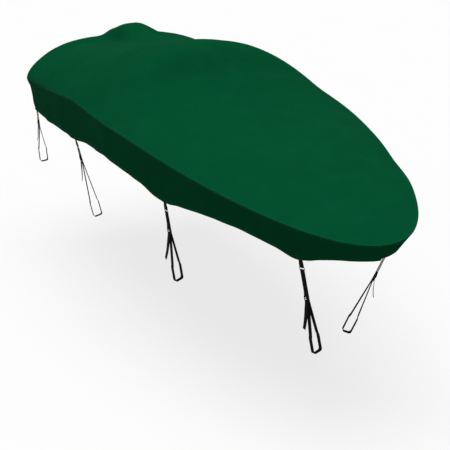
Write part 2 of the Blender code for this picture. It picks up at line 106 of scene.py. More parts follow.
# x, rise, starboard fullness, port fullness
CROWNS = (
    (-0.06, 0.222, 3.8, 2.6),
    (0.15, 0.209, 4.0, 2.45),
    (0.40, 0.231, 4.2, 2.2),
    (0.75, 0.259, 3.3, 1.95),
    (1.10, 0.305, 2.6, 2.08),
    (1.35, 0.336, 2.5, 2.25),
    (1.60, 0.200, 2.8, 2.7),
    (2.00, 0.096, 3.1, 3.2),
    (2.60, 0.075, 3.0, 3.1),
    (3.20, 0.035, 2.8, 2.9),
    (3.65, 0.000, 2.7, 2.8),
)
# x, depth
HEM_SIDE = (
    (-0.06, 0.160),
    (0.17, 0.186),
    (0.36, 0.219),
    (0.70, 0.246),
    (0.95, 0.268),
    (1.20, 0.240),
    (1.53, 0.224),
    (1.99, 0.236),
    (2.23, 0.267),
    (2.40, 0.232),
    (2.52, 0.213),
    (2.64, 0.192),
    (2.93, 0.173),
    (3.14, 0.187),
    (3.265, 0.218),
    (3.35, 0.194),
    (3.42, 0.162),
    (3.53, 0.120),
    (3.62, 0.096),
    (3.65, 0.090),
)
# y from the middle, height
HEM_STERN = ((0.0, -0.318), (0.30, -0.330), (0.56, -0.356), (0.70, -0.364))
# name, side, x, loop, turn, bar, tab, buckle, tail, sway
TIES = (
    ("starboard_stern", -1, 0.055, (0.052, 0.640, -0.716), 0, 0.050, 0.032, 0.045, 0.09, (0.018, 0.016)),
    ("starboard_aft", -1, 0.955, (0.990, 0.575, -0.800), 0, 0.052, 0.044, 0.070, 0.13, (-0.030, 0.014)),
    ("starboard_mid", -1, 2.250, (2.208, 0.510, -0.776), 17, 0.052, 0.044, 0.105, 0.19, (-0.070, 0.020)),
    ("starboard_fore", -1, 3.292, (3.246, 0.158, -0.832), 17, 0.052, 0.044, 0.150, 0.17, (-0.036, 0.030)),
    ("port_stern", 1, 0.055, (0.050, 0.636, -0.712), 0, 0.050, 0.032, 0.050, 0.11, (0.022, 0.018)),
    ("port_aft", 1, 0.955, (1.005, 0.572, -0.802), 0, 0.052, 0.044, 0.078, 0.12, (-0.020, 0.018)),
    ("port_mid", 1, 2.250, (2.190, 0.512, -0.778), 17, 0.052, 0.044, 0.090, 0.16, (0.040, 0.022)),
    ("port_fore", 1, 3.292, (3.098, 0.088, -0.826), 17, 0.046, 0.044, 0.140, 0.10, (0.024, 0.018)),
)


# ---------------------------------------------------------------- shape functions, as in the CAD
def along(rows, column, x):
    """A smooth curve through one column of a table, with no overshoot between its rows."""
    xs = np.array([row[0] for row in rows], float)
    ys = np.array([row[column] for row in rows], float)
    gaps = np.diff(xs)
    rise = np.diff(ys) / gaps
    slopes = np.zeros(len(xs))
    slopes[0], slopes[-1] = rise[0], rise[-1]
    for i in range(1, len(xs) - 1):
        if rise[i - 1] * rise[i] > 0:
            w1, w2 = 2 * gaps[i] + gaps[i - 1], gaps[i] + 2 * gaps[i - 1]
            slopes[i] = (w1 + w2) / (w1 / rise[i - 1] + w2 / rise[i])
    x = np.clip(x, xs[0], xs[-1])
    i = np.clip(np.searchsorted(xs, x, side="right") - 1, 0, len(gaps) - 1)
    t = (x - xs[i]) / gaps[i]
    return (
        (2 * t**3 - 3 * t**2 + 1) * ys[i]
        + (t**3 - 2 * t**2 + t) * gaps[i] * slopes[i]
        + (3 * t**2 - 2 * t**3) * ys[i + 1]
        + (t**3 - t**2) * gaps[i] * slopes[i + 1]
    )


def half_breadth(x):
    x = np.clip(x, X_STERN, X_BOW)
    aft = HALF_BEAM - (HALF_BEAM - HALF_TRANSOM) * ((X_BEAM - x) / (X_BEAM - X_STERN)) ** 2
    s = (np.maximum(x - X_BEAM, 0.0) / (X_BOW - X_BEAM)) ** (BOW_SWEEP / 2)
    fore = HALF_BEAM * np.maximum(1 - s * s, 0.0) ** (1 / BOW_ROUND)
    return np.where(x < X_BEAM, aft, fore)


def bell(distance, width):
    return np.exp(-0.5 * (distance / width) ** 2)


def bulge(x):
    return BULGE_OUT * bell(x - BULGE_X, BULGE_LONG) - HOLLOW_IN * bell(x - HOLLOW_X, BULGE_LONG)


def smooth_step(t):
    t = np.clip(t, 0.0, 1.0)
    return t * t * (3 - 2 * t)


def crown_height(x, y):
    x = np.clip(x, X_STERN, X_BOW)
    b = np.maximum(half_breadth(x) + np.where(y > 0, bulge(x), 0.0), 1e-4)
    u = np.minimum(np.abs(y) / b, 1.0)
    starboard, port = along(CROWNS, 2, x), along(CROWNS, 3, x)
    blend = np.minimum(u / 0.35, 1.0)
    full = np.where(y < 0, starboard, port) * blend + (1 - blend) * 0.5 * (starboard + port)
    inside = 1 - u**full
    beside = np.where(y > 0, bell(y, PEAK_WIDE), np.exp(-0.5 * np.abs(y / PEAK_BLUNT) ** 5))
    peak = PEAK_HIGH * bell(x - PEAK_X, PEAK_LONG) * beside
    edge = along(FOLDS, 1, x) + along(EDGES, 1, x) + along(EDGES, 3, x)
    low = PORT_LOW * u * u * np.clip((x - 0.3) / 0.6, 0.0, 1.0) * np.clip((X_BOW - x) / 0.5, 0.0, 1.0)
    return edge - np.where(y > 0, low, 0.0) + (along(CROWNS, 1, x) + peak) * inside


ORIGIN_X = (X_STERN + X_BOW) / 2
SHIFT = np.array((-ORIGIN_X, 0.0, -(float(crown_height(ORIGIN_X, 0.0)) - CLOTH)))


def fold_of(x, y, nx, ny):
    """Where the top panel ends and the skirt starts."""
    inset, drop = along(EDGES, 2, x), along(EDGES, 1, x)
    wide = crown_height(x, y) - along(EDGES, 3, x)
    return np.stack((x - nx * inset, y - ny * inset, wide - drop), -1)


def hem_of(x, y):
    side = along(FOLDS, 1, x) - along(HEM_SIDE, 1, x)
    side = side + np.where(y > 0, PORT_HEM_RISE * bell(x - PORT_HEM_X, PORT_HEM_LONG), 0.0)
    stern = along(HEM_STERN, 1, np.abs(y))
    return stern + (side - stern) * smooth_step((x - X_STERN) / CORNER_RADIUS)


def skirt_of(x, y, nx, ny, height):
    """Outer face of the skirt at one height under the fold. Across the stern it hangs straighter."""
    fold = fold_of(x, y, nx, ny)
    fall = np.maximum(fold[..., 2] - height, 0.0)
    lean = along(FOLDS, 2, x)
    lean = lean * np.where(y > 0, 1 + PORT_LEAN * bell(x - PORT_HEM_X, 1.4 * PORT_HEM_LONG), 1.0)
    straighter = 0.4 + 0.6 * np.minimum(np.abs(y) / (HALF_TRANSOM - CORNER_RADIUS), 1.0) ** 3
    lean = lean * np.where(x < X_STERN + CORNER_RADIUS, straighter, 1.0)
    inset = lean * fall
    return np.stack((fold[..., 0] - nx * inset, fold[..., 1] - ny * inset, np.broadcast_to(height, inset.shape)), -1)


# ---------------------------------------------------------------- plan outline, fine
def side_curve():
    """The side from the stern corner to the bow tip, with its running length."""
    aft = X_STERN + CORNER_RADIUS
    x = aft + (X_BOW - aft) * (1 - (1 - np.arange(8001) / 8000) ** 2)
    y = half_breadth(x)
    y = y - (y[0] - HALF_TRANSOM) * np.exp(-(x - aft) / 0.02)
    run = np.concatenate(([0.0], np.cumsum(np.hypot(np.diff(x), np.diff(y)))))
    return x, y, run


def fine_outline():
    straight = HALF_TRANSOM - CORNER_RADIUS
    half = [(X_STERN, -straight * share) for share in np.linspace(0, 1, round(straight / STEP) + 1)[:-1]]
    for a in np.linspace(0, math.pi / 2, 13)[:-1]:
        half.append((X_STERN + CORNER_RADIUS * (1 - math.cos(a)), -straight - CORNER_RADIUS * math.sin(a)))
    x, y, run = side_curve()
    want = np.linspace(0, run[-1], round(run[-1] / STEP) + 1)
    half += list(zip(np.interp(want, run, x), -np.interp(want, run, y)))
    half = np.array(half)
    half[-1] = (X_BOW, 0.0)
    back = half[1:-1][::-1].copy()
    back[:, 1] = -back[:, 1] + bulge(back[:, 0])
    return np.vstack((half, back)), len(half)


PLAN, HALF = fine_outline()
COUNT = len(PLAN)
_step = np.roll(PLAN, -1, 0) - np.roll(PLAN, 1, 0)
_size = np.hypot(_step[:, 0], _step[:, 1])
OUTWARD = np.stack((_step[:, 1] / _size, -_step[:, 0] / _size), -1)
OUTWARD[0], OUTWARD[HALF - 1] = (-1.0, 0.0), (1.0, 0.0)
RUN = np.concatenate(([0.0], np.cumsum(np.hypot(*(np.roll(PLAN, -1, 0) - PLAN).T))))
ROUND = RUN[-1]  # the whole way round


def plan_at(s):
    """x, y and outward direction at a distance round the outline from the middle of the stern."""
    s = np.mod(s, ROUND)
    closed = np.vstack((PLAN, PLAN[:1]))
    out = np.vstack((OUTWARD, OUTWARD[:1]))
    x, y = np.interp(s, RUN, closed[:, 0]), np.interp(s, RUN, closed[:, 1])
    nx, ny = np.interp(s, RUN, out[:, 0]), np.interp(s, RUN, out[:, 1])
    size = np.hypot(nx, ny)
    return x, y, nx / size, ny / size


def run_at(x, side):
    """The distance round the outline of a tie-down's station."""
    k = np.arange(HALF - 1, 14, -1)
    s = float(np.interp(-x, -PLAN[k, 0], RUN[k]))
    return s if side < 0 else ROUND - s


TIE_RUNS = [run_at(tie[2], tie[1]) for tie in TIES]
CORNER_RUN = HALF_TRANSOM - CORNER_RADIUS + CORNER_RADIUS * math.radians(33.75)  # where skirt and transom panel meet


def ripple(s, counts, phases):
    """A wave that closes round the cover, from whole numbers of waves, within about -1 to 1."""
    return sum(np.sin(2 * math.pi * n * s / ROUND + p) for n, p in zip(counts, phases)) / len(counts)


def tie_distance(s):
    """Signed distance to each tie-down along the outline."""
    return [np.mod(s - t + ROUND / 2, ROUND) - ROUND / 2 for t in TIE_RUNS]


# ---------------------------------------------------------------- materials
def material(name, rough, metal=0.0, **sockets):
    made = bpy.data.materials.new(name)
    made.use_nodes = True
    shader = made.node_tree.nodes["Principled BSDF"]
    shader.inputs["Roughness"].default_value = rough
    shader.inputs["Metallic"].default_value = metal
    for socket, value in sockets.items():
        shader.inputs[socket.replace("_", " ")].default_value = value
    return made, made.node_tree, shader


class Nodes:
    """Short names for the nodes that the materials use."""

    def __init__(self, tree):
        self.tree = tree

    def link(self, value, socket):
        if isinstance(value, bpy.types.NodeSocket):
            self.tree.links.new(value, socket)
        else:
            socket.default_value = value

    def math(self, operation, a, b=0.0, c=None):
        node = self.tree.nodes.new("ShaderNodeMath")
        node.operation = operation
        self.link(a, node.inputs[0])
        self.link(b, node.inputs[1])
        if c is not None:
            self.link(c, node.inputs[2])
        return node.outputs[0]

    def uv(self):
        node = self.tree.nodes.new("ShaderNodeUVMap")
        node.uv_map = "cut"
        split = self.tree.nodes.new("ShaderNodeSeparateXYZ")
        self.tree.links.new(node.outputs[0], split.inputs[0])
        return node.outputs[0], split.outputs[0], split.outputs[1]

    def place(self, scale=(1.0, 1.0, 1.0), source="Object"):
        node = self.tree.nodes.new("ShaderNodeTexCoord")
        mapping = self.tree.nodes.new("ShaderNodeMapping")
        mapping.inputs["Scale"].default_value = scale
        self.tree.links.new(node.outputs[source], mapping.inputs[0])
        return mapping.outputs[0]

    def noise(self, vector, scale, detail=2.0, rough=0.5):
        node = self.tree.nodes.new("ShaderNodeTexNoise")
        node.inputs["Scale"].default_value = scale
        node.inputs["Detail"].default_value = detail
        node.inputs["Roughness"].default_value = rough
        self.tree.links.new(vector, node.inputs["Vector"])
        return node.outputs["Fac"]

    def ramp(self, value, *stops):
        node = self.tree.nodes.new("ShaderNodeMapRange")
        self.link(value, node.inputs["Value"])
        for socket, number in zip(("From Min", "From Max", "To Min", "To Max"), stops):
            node.inputs[socket].default_value = number
        return node.outputs[0]

    def mix(self, factor, a, b, blend="MIX"):
        node = self.tree.nodes.new("ShaderNodeMix")
        node.data_type = "RGBA"
        node.blend_type = blend
        self.link(factor, node.inputs[0])
        self.link(a, node.inputs[6])
        self.link(b, node.inputs[7])
        return node.outputs[2]

    def bump(self, height, distance, strength=1.0, normal=None):
        node = self.tree.nodes.new("ShaderNodeBump")
        node.inputs["Distance"].default_value = distance
        node.inputs["Strength"].default_value = strength
        self.tree.links.new(height, node.inputs["Height"])
        if normal is not None:
            self.tree.links.new(normal, node.inputs["Normal"])
        return node.outputs[0]

    def attribute(self, name):
        node = self.tree.nodes.new("ShaderNodeAttribute")
        node.attribute_name = name
        return node.outputs["Fac"]


def rgb(r, g, b):
    return (r, g, b, 1.0)


def cloth_material(name, colour, worn, deep):
    """Coated plain-weave polyester: threads both ways, slubs, a faint mottle, and paler wear along seams and hems."""
    made, tree, shader = material(name, 0.78, Sheen_Weight=0.004, Sheen_Roughness=0.6, Sheen_Tint=(0.25, 0.9, 0.5, 1.0), Specular_IOR_Level=0.008)
    n = Nodes(tree)
    _, u, v = n.uv()
    uv = tree.nodes["UV Map"].outputs[0]
    pitch = 2 * math.pi / 0.0013
    warp = n.math("SINE", n.math("MULTIPLY", u, pitch))
    weft = n.math("SINE", n.math("MULTIPLY", v, pitch))
    weave = n.math("MULTIPLY", warp, weft)
    slub_map = tree.nodes.new("ShaderNodeMapping")
    slub_map.inputs["Scale"].default_value = (14.0, 210.0, 1.0)
    tree.links.new(uv, slub_map.inputs[0])
    slub = n.noise(slub_map.outputs[0], 1.0, 2.0)
    cross_map = tree.nodes.new("ShaderNodeMapping")
    cross_map.inputs["Scale"].default_value = (210.0, 14.0, 1.0)
    tree.links.new(uv, cross_map.inputs[0])
    cross = n.noise(cross_map.outputs[0], 1.0, 2.0)
    broad = n.noise(n.place(), 2.1, 3.0, 0.55)
    mottle = n.noise(n.place(), 38.0, 3.0, 0.6)
    # Colour: mottled between two greens, with painted shade between the threads, paler where it is worn.
    grey = n.noise(n.place((1.0, 1.0, 0.4)), 7.0, 4.0, 0.62)
    tone = n.math("ADD", n.ramp(broad, 0.30, 0.70, 0.10, 0.66), n.ramp(mottle, 0.25, 0.75, -0.12, 0.20))
    base = n.mix(tone, rgb(*deep), rgb(*colour))
    # Painted shade: the weave's valleys between the threads are mixed towards the deep green.
    threads = n.ramp(weave, -1.0, 1.0, 0.0, 0.24)
    base = n.mix(threads, base, rgb(*deep))
    wear = n.math("MULTIPLY", n.attribute("wear"), n.ramp(n.noise(n.place(), 90.0, 4.0, 0.7), 0.35, 0.65, 0.25, 1.0))
    base = n.mix(wear, base, rgb(*worn))
    base = n.mix(n.ramp(grey, 0.50, 0.80, 0.0, 0.30), base, rgb(*worn))
    tree.links.new(base, shader.inputs["Base Color"])
    tree.links.new(n.ramp(mottle, 0.2, 0.8, 0.70, 0.86), shader.inputs["Roughness"])
    slubs = n.math("ADD", slub, cross)
    normal = n.bump(slubs, 0.00030, 0.75)
    normal = n.bump(weave, 0.00016, 0.50, normal)
    crease = n.noise(n.place(), 15.0, 2.0, 0.45)
    normal = n.bump(crease, 0.0022, 0.10, normal)
    tree.links.new(normal, shader.inputs["Normal"])
    return made


def thread_material(name, colour):
    """Twisted polyester thread."""
    made, tree, shader = material(name, 0.55, Sheen_Weight=0.15, Specular_IOR_Level=0.4)
    n = Nodes(tree)
    twist = tree.nodes.new("ShaderNodeTexWave")
    twist.bands_direction = "DIAGONAL"
    twist.inputs["Scale"].default_value = 900.0
    twist.inputs["Distortion"].default_value = 2.0
    tree.links.new(n.place(), twist.inputs["Vector"])
    paler = tuple(min(c * 1.5 + 0.004, 1.0) for c in colour)
    fac = n.math("MULTIPLY", twist.outputs["Fac"], n.noise(n.place(), 60.0, 2.0))
    tree.links.new(n.mix(fac, rgb(*colour), rgb(*paler)), shader.inputs["Base Color"])
    tree.links.new(n.ramp(twist.outputs["Fac"], 0.0, 1.0, 0.48, 0.66), shader.inputs["Roughness"])
    tree.links.new(n.bump(twist.outputs["Fac"], 0.0001, 0.6), shader.inputs["Normal"])
    return made


def webbing_material(name):
    """Polypropylene webbing: columns of slanted stitches that lean the other way in each next column."""
    made, tree, shader = material(name, 0.62, Sheen_Weight=0.02, Specular_IOR_Level=0.14)
    n = Nodes(tree)
    _, u, v = n.uv()
    columns = n.math("MULTIPLY", u, 1 / 0.0025)
    cell = n.math("FRACT", columns)
    lean = n.math("SUBTRACT", n.math("MULTIPLY", n.math("FRACT", n.math("MULTIPLY", n.math("FLOOR", columns), 0.5)), 4.0), 1.0)
    slant = n.math("MULTIPLY", n.math("SUBTRACT", cell, 0.5), lean)
    phase = n.math("ADD", n.math("MULTIPLY", v, 1 / 0.0019), n.math("MULTIPLY", slant, 0.8))
    stitch = n.math("ABSOLUTE", n.math("SINE", n.math("MULTIPLY", phase, math.pi)))
    column = n.math("SINE", n.math("MULTIPLY", cell, math.pi))
    height = n.math("MULTIPLY", n.math("POWER", stitch, 0.6), n.math("POWER", column, 0.4))
    worn = n.noise(n.place(), 140.0, 3.0, 0.65)
    fuzz = n.noise(n.place(), 1500.0, 2.0)
    # Painted shade: the raised stitch tops are paler and the valleys between them darker. The noise called worn
    # varies how strong this is, at random.
    tone = n.math("MULTIPLY", height, n.ramp(worn, 0.3, 0.7, 0.35, 1.0))
    base = n.mix(tone, rgb(0.0020, 0.0028, 0.0028), rgb(0.0110, 0.0140, 0.0140))
    edge = n.math("MULTIPLY", n.ramp(n.math("ABSOLUTE", u), 0.0108, 0.0124, 0.0, 0.35), n.ramp(fuzz, 0.4, 0.6, 0.3, 1.0))
    base = n.mix(edge, base, rgb(0.026, 0.030, 0.030))
    tree.links.new(base, shader.inputs["Base Color"])
    tree.links.new(n.ramp(height, 0.0, 1.0, 0.78, 0.52), shader.inputs["Roughness"])
    normal = n.bump(height, 0.00045, 0.8)
    tree.links.new(n.bump(fuzz, 0.0001, 0.25, normal), shader.inputs["Normal"])
    return made


def steel_material(name):
    """Nickel-plated wire with fine scratches and a little dulling."""
    made, tree, shader = material(name, 0.22, 1.0)
    n = Nodes(tree)
    dull = n.noise(n.place(), 220.0, 3.0, 0.6)
    scratch = n.noise(n.place((1.0, 12.0, 3.0)), 700.0, 3.0, 0.6)
    tree.links.new(n.mix(n.ramp(dull, 0.35, 0.7, 0.0, 1.0), rgb(0.72, 0.73, 0.75), rgb(0.52, 0.52, 0.53)), shader.inputs["Base Color"])
    tree.links.new(n.ramp(n.math("MULTIPLY", dull, scratch), 0.1, 0.45, 0.16, 0.40), shader.inputs["Roughness"])
    tree.links.new(n.bump(scratch, 0.00003, 0.4), shader.inputs["Normal"])
    return made


def plastic_material(name):
    """Moulded black nylon: fine grain, soft gloss, a few paler rubbed places."""
    made, tree, shader = material(name, 0.42, Specular_IOR_Level=0.5)
    n = Nodes(tree)
    grain = n.noise(n.place(), 2600.0, 2.0)
    rubbed = n.noise(n.place(), 180.0, 4.0, 0.7)
    tree.links.new(n.mix(n.ramp(rubbed, 0.45, 0.75, 0.0, 1.0), rgb(0.011, 0.011, 0.012), rgb(0.030, 0.031, 0.033)), shader.inputs["Base Color"])
    tree.links.new(n.ramp(rubbed, 0.3, 0.7, 0.36, 0.55), shader.inputs["Roughness"])
    tree.links.new(n.bump(grain, 0.00006, 0.5), shader.inputs["Normal"])
    return made


GREEN = cloth_material("woven_green", (0.0006, 0.0850, 0.0300), (0.0030, 0.1080, 0.0430), (0.0004, 0.0690, 0.0240))
GREEN_THREAD = thread_material("green_thread", (0.004, 0.100, 0.040))
BLACK_THREAD = thread_material("black_thread", (0.016, 0.017, 0.018))
BLACK_WEB = webbing_material("woven_webbing")
STEEL = steel_material("plated_wire")
PLASTIC = plastic_material("moulded_nylon")


# ---------------------------------------------------------------- mesh helpers
def make(name, points, faces, look, uvs=None, wear=None, shift=True, sharp=40.0):
    """A piece from points in the layout, riding on the cover's body."""
    mesh = bpy.data.meshes.new(name)
    points = np.asarray(points, float)
    if shift:
        points = points + SHIFT
    mesh.from_pydata(points.tolist(), [], faces)
    mesh.materials.append(look)
    corners = np.zeros(len(mesh.loops), int)
    mesh.loops.foreach_get("vertex_index", corners)
    if uvs is not None:
        layer = mesh.uv_layers.new(name="cut")
        layer.data.foreach_set("uv", np.asarray(uvs, float)[corners].ravel())
    if wear is not None:
        attribute = mesh.attributes.new("wear", "FLOAT", "POINT")
        attribute.data.foreach_set("value", np.asarray(wear, float))
    mesh.shade_smooth()
    if sharp:
        mesh.set_sharp_from_angle(angle=math.radians(sharp))
    piece = bpy.data.objects.new(name, mesh)
    bpy.context.collection.objects.link(piece)
    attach(piece, "root")
    return piece


def grid_faces(index, closed_columns=False):
    """Quads over a grid of vertex numbers, skipping corners that coincide."""
    index = np.asarray(index)
    after = np.roll(index, -1, 0) if closed_columns else index[1:]
    before = index if closed_columns else index[:-1]
    faces = []
    for a, b in zip(before.tolist(), after.tolist()):
        for j in range(len(a) - 1):
            loop = [a[j], a[j + 1], b[j + 1], b[j]]
            loop = [v for i, v in enumerate(loop) if v != loop[i - 1]]
            if len(loop) > 2:
                faces.append(loop)
    return faces


def grid_normals(grid, closed_columns):
    """Unit normals of a grid of points, pointing out of the cover."""
    if closed_columns:
        across = np.roll(grid, -1, 0) - np.roll(grid, 1, 0)
    else:
        across = np.gradient(grid, axis=0)
    down = np.gradient(grid, axis=1)
    normal = np.cross(down, across)
    return normal / np.maximum(np.linalg.norm(normal, axis=-1, keepdims=True), 1e-12)


# ---------------------------------------------------------------- top panel
def top_relief(x, y, distance, s):
    """How the stretched cloth stands off its plain surface: slack, folds that run from the peak, and puckers at the seam."""
    inner = smooth_step(distance / 0.22)
    slack = 0.0016 * np.sin(5.2 * x + 1.9 * y + 0.4) * np.sin(7.2 * y - 1.4 * x + 1.1)
    slack = slack + 0.0007 * np.sin(13.1 * x - 9.7 * y + 2.0) * np.sin(11.3 * y + 4.1 * x)
    reach, turn = np.hypot(x - PEAK_X, y), np.arctan2(y, x - PEAK_X)
    folds = 0.0024 * np.cos(8 * turn + 0.9 * np.sin(2 * turn)) * bell(reach - 0.27, 0.10)
    ridge = np.hypot((x - 1.33) / 1.6, np.abs(y) - 0.30)
    drawn = 0.0012 * np.cos(34 * (x - 1.33) + 5.0 * np.abs(y)) * bell(ridge, 0.17)
    pucker = 0.00055 * ripple(s, (71, 103, 139), (0.3, 1.7, 4.0)) * np.exp(-distance / 0.040)
    hollow = -0.0012 * bell(distance - 0.045, 0.022) * (0.6 + 0.4 * ripple(s, (17, 29), (0.8, 2.2)))
    return slack * inner + folds * inner + drawn * inner + pucker + hollow


def top_panel():
    x, y = PLAN[:, 0], PLAN[:, 1]
    nx, ny = OUTWARD[:, 0], OUTWARD[:, 1]
    r = along(EDGES, 3, x)
    ax, ay = x - nx * r, y - ny * r
    spine = SPINE_AFT + (SPINE_FORE - SPINE_AFT) * (x - X_STERN) / (X_BOW - X_STERN)
    length = np.hypot(ax - spine, ay)
    rows, inward = [], []
    for share in np.linspace(0, 1, 33):
        rho = (1 - 0.050 / length) * share
        px, py = spine + rho * (ax - spine), rho * ay
        rows.append(np.stack((px, py, crown_height(px, py)), -1))
        inward.append(length * (1 - rho) + r)
    for distance in (0.036, 0.024, 0.0155, 0.0130, 0.006, 0.0):
        rho = 1 - distance / length
        px, py = spine + rho * (ax - spine), rho * ay
        rows.append(np.stack((px, py, crown_height(px, py)), -1))
        inward.append(distance + r)
    for degrees in (18, 36, 54, 72, 90):
        e = r * (1 - math.sin(math.radians(degrees)))
        px, py = x - nx * e, y - ny * e
        rows.append(np.stack((px, py, crown_height(px, py) - r * (1 - math.cos(math.radians(degrees)))), -1))
        inward.append(e)
    fold, wide = fold_of(x, y, nx, ny), rows[-1]
    for share in (0.30, 0.65, 1.0):
        bend = share**1.3
        rows.append(np.concatenate((wide[:, :2] + (fold - wide)[:, :2] * bend, wide[:, 2:] + (fold - wide)[:, 2:] * share), 1))
        inward.append(np.zeros(COUNT))
    grid = np.stack(rows, 1)
    inward = np.stack(inward, 1)
    normal = grid_normals(grid, True)
    normal[:, 0] = (0.0, 0.0, 1.0)
    s = np.broadcast_to(RUN[:-1, None], inward.shape)
    # Distance from the fold over the cloth, which the felled seam and its stitching follow.
    gaps = np.linalg.norm(np.diff(grid[:, ::-1], axis=1), axis=-1)
    above = np.concatenate((np.zeros((COUNT, 1)), np.cumsum(gaps, 1)), 1)[:, ::-1]
    relief = top_relief(grid[..., 0], grid[..., 1], inward, s) * smooth_step(above / 0.02)
    felled = 0.0006 * smooth_step((FELLED + 0.002 - above) / 0.002)
    grid = grid + normal * (relief + felled - 0.0006)[..., None]
    grid[:, 0] = grid[:, 0] * (1, 0, 1)
    for k in range(HALF, COUNT):
        grid[k, 0] = grid[2 * (HALF - 1) - k, 0]
    stern = np.abs(x - X_STERN) < 1e-9
    grid[stern, 0] = grid[0, 0]
    index = np.arange(grid.shape[0] * grid.shape[1]).reshape(grid.shape[:2])
    index[HALF:, 0] = [index[2 * (HALF - 1) - k, 0] for k in range(HALF, COUNT)]
    index[stern, 0] = index[0, 0]
    # Wear: paler along the rolled edge, the seam and the cloth's high places.
    worn = 0.55 * bell(above - 0.010, 0.007) * (0.75 + 0.25 * ripple(s, (41, 67), (0.0, 1.0)))
    worn = worn + 0.28 * bell(np.hypot(grid[..., 0] - PEAK_X, grid[..., 1]), 0.05)
    worn = worn + 0.10 * bell(grid[..., 0] - 1.33, 0.05) * bell(np.abs(grid[..., 1]) - 0.25, 0.2)
    used = np.unique(index)
    renumber = np.full(index.size, -1)
    renumber[used] = np.arange(len(used))
    flat = grid.reshape(-1, 3)[used]
    piece = make(
        "cover_top",
        flat,
        grid_faces(renumber[index], True),
        GREEN,
        uvs=flat[:, :2],
        wear=np.clip(worn, 0, 1).reshape(-1)[used],
        sharp=None,
    )
    sheet = piece.modifiers.new("cloth_thickness", "SOLIDIFY")
    sheet.thickness, sheet.offset = TOP_CLOTH, -1.0
    sheet.use_even_offset = False
    return piece, grid, grid_normals(grid, True), above


# ---------------------------------------------------------------- skirt and transom panel
def skirt_relief(s, below, depth):
    """Soft flutes that grow towards the hem, puckers under the seam, and pulls that fan out from each tie-down."""
    share = np.clip(below / depth, 0.0, 1.0)
    calm = 1.0
    fans = 0.0
    for away in tie_distance(s):
        up = depth - below
        reach, turn = np.hypot(away, up + 0.015), np.arctan2(away, up + 0.015)
        fans = fans + 0.0021 * np.cos(9 * turn) * bell(reach - 0.085, 0.040) - 0.0010 * bell(away, 0.05) * share
        calm = calm * (1 - 0.9 * bell(away, 0.035))
    flutes = 0.0034 * share**1.4 * ripple(s, (27, 38, 53), (0.6, 2.9, 5.0)) * calm
    flutes = flutes + 0.0012 * np.sin(math.pi * share) * ripple(s, (19, 31), (1.0, 3.3))
    pucker = 0.0006 * np.exp(-below / 0.030) * ripple(s, (83, 121, 151), (0.0, 2.1, 4.4))
    return (flutes + fans + pucker) * smooth_step(below / 0.012)


